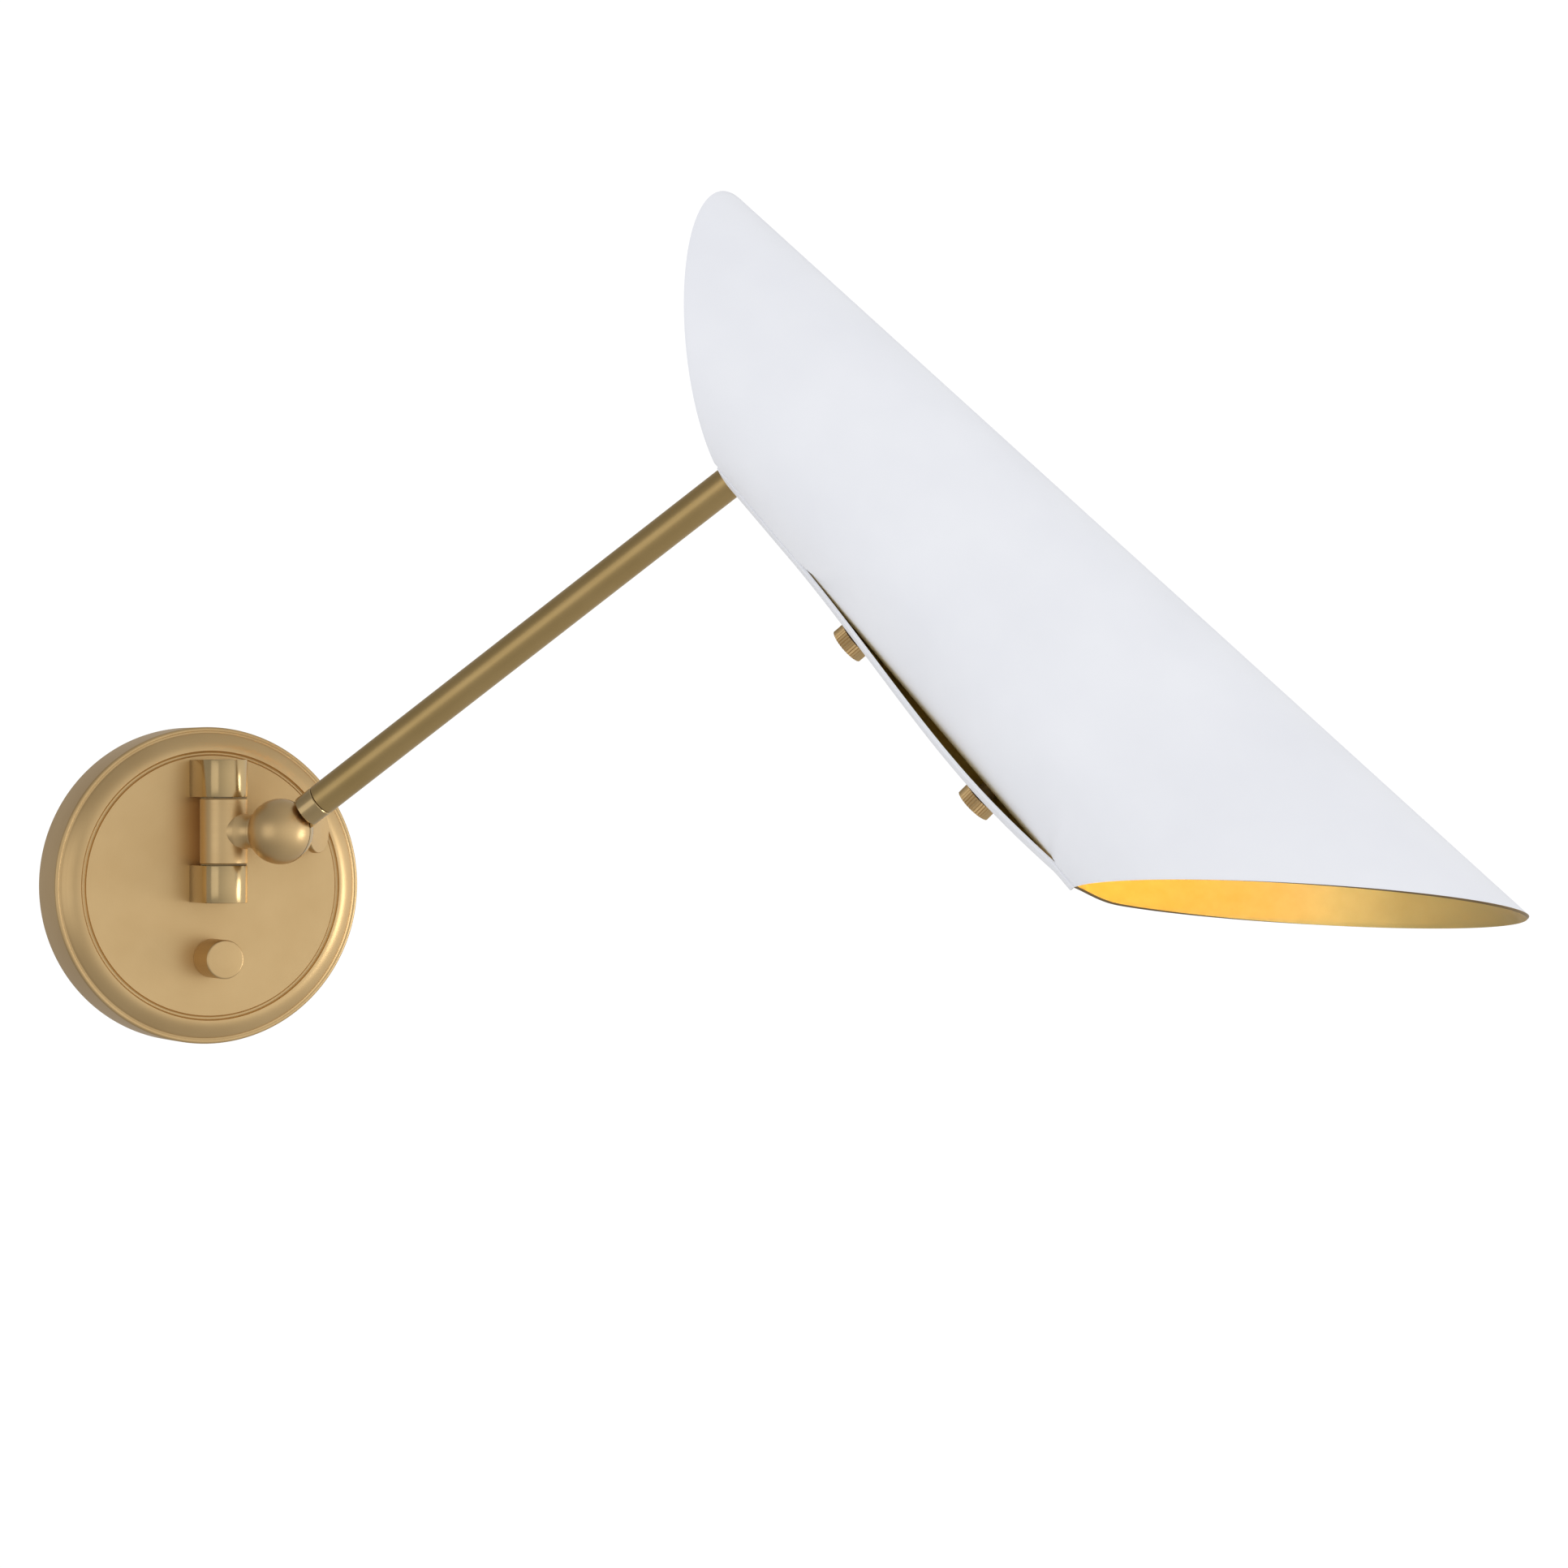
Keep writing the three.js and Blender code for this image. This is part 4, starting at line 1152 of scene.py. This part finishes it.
@dataclass
class Shade:
    """The shade: one sheet rolled to a slight cone, cut on the slant, lapped along its underside.

    Angles run in degrees from the top, over the near side. Along each generatrix the sheet spans
    from the mouth's cut to the opening's cut, so its rims lie exactly in the two cuts.
    """

    radius: float = 41.99
    taper: float = 0.0565
    sheet: float = 1.2
    lap_gap: float = 0.4
    lap_inner_end: float = 198.0
    lap_outer_edge: float = 153.0
    step_start: float = 105.0
    step_end: float = 144.0
    flush_step: float = 3.0
    flush_end: float = 152.8
    mouth_on_axis: float = -43.8
    mouth_slope: float = 1.078
    opening_on_axis: float = 257.6
    opening_slope: float = 1.039
    skew: float = 0.2424
    tuck_start: float = 186.5
    tuck_end: float = 197.0
    tuck_hidden: float = 154.0
    tuck_blend: float = 6.0
    tuck_short: float = 14.0
    corner_cut: float = 8.0
    corner_height: float = 5.5
    corner_power: int = 4
    lift: float = 4.0
    lift_start: float = 36.0
    lift_end: float = 191.0
    lift_lean: float = 1.6
    hold_angle: float = 185.0
    fade_angle: float = 235.0
    arm_gap: float = 0.5
    arm_lean: float = 0.17
    turn_step: float = 1.5
    rows: int = 110
    rim_facing: float = 0.4
    edge: float = 0.18

    def lift_at(self, place: float) -> float:
        """Says how far the lapping edge stands off at a place on the axis."""
        share = (place - self.lift_start) / (self.lift_end - self.lift_start)
        share = min(max(share, 0.0), 1.0)
        return self.lift * math.sin(math.pi * share**self.lift_lean)

    def sheet_radius(self, angle: float, place: float) -> float:
        """Gives the outer radius of the rolled sheet.

        Args:
            angle: From the tucked end, 198 degrees, down to the lapping edge at -207.
            place: Place on the axis, in millimetres.

        Returns:
            The radius of its outer face.
        """
        outer = self.radius + self.taper * place
        if angle > 0:
            open_share = smooth_step(self.lift_at(place), 0.0, self.sheet)
            start = self.lap_outer_edge - self.flush_step
            start += (self.step_start - start) * open_share
            end = self.flush_end + (self.step_end - self.flush_end) * open_share
            tucked = smooth_step(angle, self.tuck_start, self.tuck_end) * self.lift_at(place)
            return outer - smooth_step(angle, start, end) * (self.sheet + self.lap_gap) + tucked
        held = 1.0 - smooth_step(angle + 360.0, self.hold_angle, self.fade_angle)
        return outer + held * self.lift_at(place)

    def rim_places(self, angle: float) -> tuple[float, float]:
        """Finds where a generatrix meets the mouth's cut and the opening's cut.

        Args:
            angle: The generatrix, in degrees.

        Returns:
            Its first and last place on the axis.
        """
        up = math.cos(math.radians(angle))
        near = math.sin(math.radians(angle))
        mouth_lean = self.mouth_slope * up + self.skew * near
        mouth = (self.mouth_on_axis - self.radius * mouth_lean) / (1 + self.taper * mouth_lean)
        opening_lean = self.opening_slope * up - self.skew * near
        opening = (self.opening_on_axis + self.radius * opening_lean) / (1 - self.taper * opening_lean)
        bottom = self.radius + self.taper * self.opening_on_axis
        height = (self.radius + self.taper * opening) * up
        lowest = -(bottom - self.taper * self.radius * self.opening_slope)
        above = max(0.0, 1.0 - max(0.0, height - lowest) / self.corner_height)
        tucked = self.tuck_short * smooth_step(angle, self.tuck_hidden, self.tuck_hidden + self.tuck_blend)
        rounded = self.corner_cut * above**self.corner_power
        return max(mouth, self.arm_clearance(up, near)), opening - rounded - tucked

    def arm_clearance(self, up: float, near: float) -> float:
        """Says where the rim has to start so that the arm passes under the mouth.

        Args:
            up: Cosine of the generatrix's angle.
            near: Its sine.

        Returns:
            The first free place, or a very low one where the arm isn't in the way.
        """
        reach = ARM_RADIUS + self.arm_gap
        inner = self.radius - 2 * self.sheet - self.lap_gap
        aside = inner * near
        if up > 0 or abs(aside) >= reach:
            return -1000.0
        across = math.sqrt(reach**2 - aside**2) / math.cos(self.arm_lean)
        return inner * up * math.tan(self.arm_lean) + across

    def build_sheet(self) -> Piece:
        """Rolls a flat grid into the outer face of the shade."""
        turn = self.lap_inner_end - (self.lap_outer_edge - 360.0)
        columns = round(turn / self.turn_step)
        take()
        bpy.ops.mesh.primitive_grid_add(x_subdivisions=columns, y_subdivisions=self.rows, size=1.0)
        sheet = bpy.context.object
        sheet.name = "rolled_shade"
        for vertex in sheet.data.vertices:
            angle = self.lap_inner_end - (vertex.co.x + 0.5) * turn
            first, last = self.rim_places(angle)
            place = first + (vertex.co.y + 0.5) * (last - first)
            radius = self.sheet_radius(angle, place)
            around = math.radians(angle)
            vertex.co = (place, -radius * math.sin(around), radius * math.cos(around))
        return sheet

    def build(self, places: LampPlacements) -> None:
        """Models the shade with its three finishes: coat, lining and cut edge."""
        shade = self.build_sheet()
        take(shade)
        middle = shade.data.polygons[len(shade.data.polygons) // 2]
        outwards = Vector((0, middle.center.y, middle.center.z)).dot(middle.normal)
        if outwards < 0:
            bpy.ops.object.mode_set(mode="EDIT")
            bpy.ops.mesh.select_all(action="SELECT")
            bpy.ops.mesh.flip_normals()
            bpy.ops.object.mode_set(mode="OBJECT")
        for finish in (WHITE_COAT, GOLD_LINING, CUT_EDGE):
            shade.data.materials.append(finish.material(places.shade))
        wall = shade.modifiers.new("wall", "SOLIDIFY")
        wall.thickness = self.sheet
        wall.offset = -1.0
        wall.use_even_offset = False
        wall.material_offset = 1
        wall.material_offset_rim = 0
        bpy.ops.object.modifier_apply(modifier=wall.name)
        for face in shade.data.polygons:
            if face.normal.x > self.rim_facing:
                face.material_index = 2
        soften(shade, self.edge, 2, 60.0)
        place_piece(shade, places.shade, "shade", WHITE_COAT, "shade")


@dataclass
class LapHardware:
    """The knurled thumb nuts on the lap, with the studs, spacers and strap behind them."""

    radius: float = 7.35
    height: float = 4.8
    play: float = 0.3
    teeth: int = 36
    tooth_depth: float = 0.4
    rim: float = 0.9
    dish: float = 0.5
    bore: float = 2.3

    def build_nut(self, which: str, placement: Placement) -> None:
        """Models one thumb nut: a knurled disc, dished at both ends.

        Args:
            which: "upper" or "lower".
            placement: The nut's placement, with Z towards the shade's axis.
        """
        low = -self.play - self.height
        nut = peg(self.radius, Vector((0, 0, low)), Vector((0, 0, -self.play)), 4 * self.teeth)
        nut.name = f"thumb_nut_{which}_fine"
        for side in (1, -1):
            choose_faces(nut, Vector((0, 0, side)))
            bpy.ops.mesh.inset(thickness=self.rim, depth=0.0)
            bpy.ops.mesh.inset(thickness=self.rim / 2, depth=-self.dish)
        bpy.ops.object.mode_set(mode="OBJECT")
        for vertex in nut.data.vertices:
            distance = math.hypot(vertex.co.x, vertex.co.y)
            if distance < self.radius - self.rim / 2:
                continue
            turn = math.atan2(vertex.co.y, vertex.co.x)
            cut = self.tooth_depth * (0.5 - 0.5 * math.cos(self.teeth * turn))
            vertex.co.x *= (distance - cut) / distance
            vertex.co.y *= (distance - cut) / distance
        drill(nut, self.bore, Vector((0, 0, low - 1)), Vector((0, 0, 1)))
        place_piece(nut, placement, f"nut_{which}", SATIN_BRASS, f"thumb_nut_{which}")

    def build(self, places: LampPlacements) -> None:
        """Models both nuts and dresses what lies behind them."""
        self.build_nut("upper", places.nut_upper)
        self.build_nut("lower", places.nut_lower)
        dress_nodes(ZINC_STEEL, places.shade, "seam_strap", "lap_stud_upper", "lap_stud_lower")
        dress_nodes(NYLON_WITH_PAINTED_SHADE, places.shade, "lap_spacer_upper", "lap_spacer_lower")


@dataclass
class ShadePivot:
    """The fork that carries the shade on the arm's eye, with its screw and nut."""

    ear_radius: float = 7.0
    ear_inner: float = 3.3
    ear_outer: float = 6.3
    base_start: float = 13.5
    base_end: float = 16.5
    base_radius: float = 10.0
    base_edge: float = 0.3
    pivot_hole: float = 2.8
    nipple_hole: float = 5.3
    screw_radius: float = 2.5
    screw_edge: float = 0.4
    head_radius: float = 5.0
    head_top: float = 3.2
    head_height: float = 2.8
    nut_corner: float = 4.6
    nut_height: float = 3.4
    nut_edge: float = 0.35
    seat: float = 0.1
    tip: float = 0.8

    def build_fork(self, places: LampPlacements) -> None:
        """Models the fork: a round base and two round ended ears."""
        placement = Placement(places.shade.origin, places.shade.z_axis, places.shade.y_axis())
        start, end = self.base_start, self.base_end
        fork = peg(self.base_radius, Vector((0, start, 0)), Vector((0, end, 0)), FINE_FACETS)
        fork.name = "shade_fork_fine"
        soften(fork, self.base_edge)
        for low, high in ((self.ear_inner, self.ear_outer), (-self.ear_outer, -self.ear_inner)):
            combine(fork, round_ended_bar("ear", self.ear_radius, (start + end) / 2, low, high), "UNION")
        reach = Vector((0, 0, self.ear_outer + 1))
        drill(fork, self.pivot_hole, -reach, reach)
        drill(fork, self.nipple_hole, Vector((0, start - 1, 0)), Vector((0, end + 1, 0)))
        place_piece(fork, placement, "shade", SATIN_BRASS, "shade_fork")

    def build_screw(self, placement: Placement) -> None:
        """Models the pivot screw with a slotted domed head.

        Args:
            placement: The shade's placement, with Z across it.
        """
        head = -self.ear_outer - self.seat
        top = head - self.head_height
        end = self.ear_outer + self.seat + self.nut_height + self.tip
        rim = self.head_radius
        dome = curve([(0, top), (self.head_top, top), (rim, top + 1), (rim, head)], 8)
        shank = self.screw_radius
        edge = self.screw_edge
        outline = [*dome, (shank, head), (shank, end - edge), (shank - edge, end), (0, end)]
        screw = turned("pivot_screw_fine", outline)
        cut_slot(screw, top, (12, 1.1, 2.4))
        place_piece(screw, placement, "shade", ZINC_STEEL, "pivot_screw")

    def build_nut(self, placement: Placement) -> None:
        """Models the pivot's hexagon nut.

        Args:
            placement: The shade's placement, with Z across it.
        """
        start = self.ear_outer + self.seat
        end = start + self.nut_height
        nut = peg(self.nut_corner, Vector((0, 0, start)), Vector((0, 0, end)), 6)
        nut.name = "pivot_nut_fine"
        soften(nut, self.nut_edge)
        drill(nut, self.pivot_hole, Vector((0, 0, start - 1)), Vector((0, 0, end + 1)))
        place_piece(nut, placement, "shade", ZINC_STEEL, "pivot_nut")

    def build(self, places: LampPlacements) -> None:
        """Models the whole pivot."""
        self.build_fork(places)
        across = places.shade.facing("y")
        self.build_screw(across)
        self.build_nut(across)


@dataclass
class LampHolder:
    """The moulded lampholder on its nipple, and the lit opal bulb in it."""

    radius: float = 17.0
    bore: float = 15.0
    nipple_hole: float = 5.3
    cap_start: float = 22.0
    cap_end: float = 32.6
    shoulder: float = 6.0
    wall: float = 2.0
    body_start: float = 32.9
    body_end: float = 63.9
    band: float = 3.0
    rim_band: float = 5.0
    waist: float = 0.6
    rim_edge: float = 0.5
    rivet_hole: float = 2.3
    floor: float = 3.0
    glass_start: float = 63.6
    neck_radius: float = 13.1
    neck_pull: float = 16.5
    globe_pull: float = 22.5
    globe_radius: float = 30.0
    glass_length: float = 76.0
    glass_wall: float = 1.2

    def build_cap(self, placement: Placement) -> None:
        """Models the holder's round shouldered cap.

        Args:
            placement: The shade's placement, with Z down its axis.
        """
        start, end = self.cap_start, self.cap_end
        inner_shoulder = self.shoulder - self.wall
        height = start + self.shoulder
        outer = arc((self.radius - self.shoulder, height), self.shoulder, -90, 0, 10)
        hollow = arc((self.bore - inner_shoulder, height), inner_shoulder, 0, -90, 8)
        outline = [(self.nipple_hole, start), *outer, (self.radius, end), (self.bore, end), *hollow]
        outline.append((self.nipple_hole, start + self.wall))
        cap = turned("lampholder_cap_fine", outline, FINE_FACETS)
        place_piece(cap, placement, "shade", BLACK_PHENOLIC, "lampholder_cap")

    def build_body(self, placement: Placement) -> None:
        """Models the holder's body: a cup with a band at each end.

        Args:
            placement: The shade's placement, with Z down its axis.
        """
        start, end = self.body_start, self.body_end
        narrow = self.radius - self.waist
        base = start + self.floor
        rim = end - self.rim_band
        outline = [
            (self.rivet_hole, start), (self.radius, start), (self.radius, start + self.band),
            (narrow, start + self.band + self.waist), (narrow, rim - self.waist), (self.radius, rim),
            (self.radius, end - self.rim_edge), (self.radius - self.rim_edge, end), (self.bore, end),
            (self.bore, base), (self.rivet_hole, base),
        ]
        body = turned("lampholder_body_fine", outline, FINE_FACETS)
        place_piece(body, placement, "shade", BLACK_PHENOLIC, "lampholder_body")

    def glass_skin(self, inset: float) -> Outline:
        """Draws one skin of the glass.

        Args:
            inset: How far it lies inside the outer skin.

        Returns:
            Its points from the neck to the globe's top.
        """
        centre = self.glass_start + self.glass_length - self.globe_radius
        neck = self.neck_radius - inset
        globe = self.globe_radius - inset
        low = self.glass_start
        points = [(neck, low), (neck, low + self.neck_pull)]
        points += [(globe, centre - self.globe_pull), (globe, centre)]
        return [*curve(points, 16)[:-1], *arc((0, centre), globe, 0, 90, 16)]

    def build_bulb(self, placement: Placement) -> None:
        """Models the opal bulb as a thin glass shell.

        Args:
            placement: The shade's placement, with Z down its axis.
        """
        outline = [*self.glass_skin(0.0), *reversed(self.glass_skin(self.glass_wall))]
        glass = turned("bulb_glass_fine", outline, FINE_FACETS)
        place_piece(glass, placement, "shade", OPAL_GLASS, "bulb_glass")

    def build(self, places: LampPlacements) -> None:
        """Models the holder and bulb, and dresses the small metal parts in them."""
        placement = places.shade.facing("x")
        self.build_cap(placement)
        self.build_body(placement)
        self.build_bulb(placement)
        dress_nodes(ZINC_STEEL, placement, "nipple", "nipple_lock_nut", "bulb_base")
        dress_nodes(POLISHED_BRASS, placement, "lampholder_contact", "lampholder_screw_shell")


@dataclass
class Dimmer:
    """The dimmer's plain round knob, with its body, nut and shaft behind it."""

    radius: float = 7.75
    start: float = 0.1
    length: float = 16.6
    edge: float = 0.7
    wall: float = 1.4
    recess: float = 4.5
    bore: float = 2.3
    bore_end: float = 13.1

    def build(self, places: LampPlacements) -> None:
        """Models the knob and dresses what lies behind the plate."""
        end = self.start + self.length
        inner = self.radius - self.wall
        floor = self.start + self.recess
        crown = arc((self.radius - self.edge, end - self.edge), self.edge, 0, 90, 6)
        outline = [(self.radius, self.start), *crown, (0, end), (0, self.bore_end)]
        outline += [(self.bore, self.bore_end), (self.bore, floor), (inner, floor), (inner, self.start)]
        knob = turned("dimmer_knob_fine", outline, FINE_FACETS)
        place_piece(knob, places.knob, "dimmer", SATIN_BRASS, "dimmer_knob")
        dress_nodes(BLACK_PHENOLIC, places.knob, "dimmer_body")
        dress_nodes(ZINC_STEEL, places.knob, "dimmer_nut", "dimmer_shaft")


# ------------------------------------------------------------------ studio


@dataclass
class Studio:
    """The camera, the soft lights, the bright surroundings and the pale floor. Metres."""

    azimuth_deg: float = -25.9
    distance: float = 1.91657
    aim: Vector = field(default_factory=lambda: Vector((0.26702, 0.0, 0.04067)))
    lens_mm: float = 101.96
    sensor_mm: float = 36.0
    lights_aim: Vector = field(default_factory=lambda: Vector((0.1, -0.1, 0.03)))
    floor_middle: Vector = field(default_factory=lambda: Vector((0.1, -0.3, -1.1)))
    floor_size: float = 2.6
    surround: float = 0.74
    bright_side: Vector = field(default_factory=lambda: Vector((0.87, -0.49, 0.0)))
    dim_until: float = -0.8
    dim_share: float = 0.6
    bright_from: float = 0.9
    bright_share: float = 1.3
    band_half: float = 0.05
    overhead_from: float = 0.85
    overhead_share: float = 0.64
    even_light: float = 1.03
    seen_light: float = 1.05

    def add_camera(self) -> None:
        """Adds the camera and makes it the scene's own."""
        turn = math.radians(self.azimuth_deg)
        back = Vector((math.sin(turn), -math.cos(turn), 0.0))
        lens = bpy.data.cameras.new("camera")
        lens.lens = self.lens_mm
        lens.sensor_width = self.sensor_mm
        camera = bpy.data.objects.new("camera", lens)
        camera.location = self.aim + back * self.distance
        camera.rotation_euler = (math.pi / 2, 0.0, turn)
        bpy.context.scene.collection.objects.link(camera)
        bpy.context.scene.camera = camera

    def add_softbox(self, name: str, at: Vector, size: float, power: float) -> None:
        """Adds one square soft light that looks at the lamp.

        Args:
            name: The light's name.
            at: Its place.
            size: Its width.
            power: Its power in watts.
        """
        light = bpy.data.lights.new(name, "AREA")
        light.shape = "SQUARE"
        light.size = size
        light.energy = power
        softbox = bpy.data.objects.new(name, light)
        softbox.location = at
        softbox.visible_diffuse = False
        softbox.rotation_euler = (self.lights_aim - at).to_track_quat("-Z", "Y").to_euler()
        bpy.context.scene.collection.objects.link(softbox)

    def add_surroundings(self) -> None:
        """Makes the surroundings: white to the eye, even for the coat, banded for the metals.

        A metal sees a bright band at its own height that is strongest on the right.
        """
        world = bpy.data.worlds.new("studio")
        world.use_nodes = True
        bpy.context.scene.world = world
        tree = world.node_tree
        tree.nodes.clear()
        direction = add_node(tree, "ShaderNodeTexCoord").outputs["Generated"]
        settings = {"operation": "DOT_PRODUCT", 1: self.bright_side.normalized()}
        aside = add_node(tree, "ShaderNodeVectorMath", settings, {0: direction}).outputs["Value"]
        settings = {
            "From Min": self.dim_until, "From Max": self.bright_from,
            "To Min": self.dim_share, "To Max": self.bright_share,
        }
        glow = add_node(tree, "ShaderNodeMapRange", settings, {"Value": aside}).outputs["Result"]
        parts = add_node(tree, "ShaderNodeSeparateXYZ", links={0: direction})
        height = add_node(tree, "ShaderNodeMath", {"operation": "ABSOLUTE"}, {0: parts.outputs[2]})
        settings = {
            "interpolation_type": "SMOOTHSTEP",
            "From Min": self.band_half, "From Max": self.overhead_from,
            "To Min": self.surround, "To Max": self.surround * self.overhead_share,
        }
        links = {"Value": height.outputs[0]}
        band = add_node(tree, "ShaderNodeMapRange", settings, links).outputs["Result"]
        strength = add_node(tree, "ShaderNodeMath", {"operation": "MULTIPLY"}, {0: glow, 1: band})
        links = {"Strength": strength.outputs[0]}
        lit = add_node(tree, "ShaderNodeBackground", {"Color": linear(0xFDFCFA)}, links)
        settings = {"Color": linear(0xFBFCFF), "Strength": self.even_light}
        even = add_node(tree, "ShaderNodeBackground", settings)
        seen = add_node(tree, "ShaderNodeBackground", {"Color": linear(0xFFFFFF), "Strength": self.seen_light})
        rays = add_node(tree, "ShaderNodeLightPath")
        links = {0: rays.outputs["Is Diffuse Ray"], 1: lit.outputs[0], 2: even.outputs[0]}
        shed = add_node(tree, "ShaderNodeMixShader", links=links)
        links = {0: rays.outputs["Is Camera Ray"], 1: shed.outputs[0], 2: seen.outputs[0]}
        mixed = add_node(tree, "ShaderNodeMixShader", links=links)
        add_node(tree, "ShaderNodeOutputWorld", links={"Surface": mixed.outputs[0]})

    def add_floor(self) -> None:
        """Lays the plain pale floor below the lamp."""
        take()
        bpy.ops.mesh.primitive_plane_add(size=self.floor_size, location=self.floor_middle)
        floor = bpy.context.object
        floor.name = "floor"
        material, shader = new_material("pale_floor")
        shader.inputs["Base Color"].default_value = linear(0xF4F4F3)
        shader.inputs["Roughness"].default_value = 0.7
        floor.data.materials.append(material)
        floor.visible_glossy = False

    def build(self) -> None:
        """Sets the whole studio up."""
        self.add_camera()
        self.add_softbox("key_softbox", Vector((2.0, -1.25, -0.25)), 0.8, 8.0)
        self.add_softbox("fill_softbox", Vector((-2.1, -1.1, 0.1)), 1.6, 4.0)
        self.add_surroundings()
        self.add_floor()
        bpy.context.scene.view_settings.view_transform = "Standard"


def main() -> None:
    """Builds the studio and every sub-assembly in order."""
    logging.basicConfig(level=logging.INFO, format="%(name)s: %(message)s")
    Studio().build()
    places = LampPlacements.from_frame()
    arm_lean = math.asin(places.arm.x_axis.dot(places.shade.x_axis))
    WallPlate().build(places)
    Hinge().build(places)
    Swivel().build(places)
    Arm().build(places)
    Shade(arm_lean=arm_lean).build(places)
    LapHardware().build(places)
    ShadePivot().build(places)
    LampHolder().build(places)
    Dimmer().build(places)


if __name__ == "__main__":
    main()
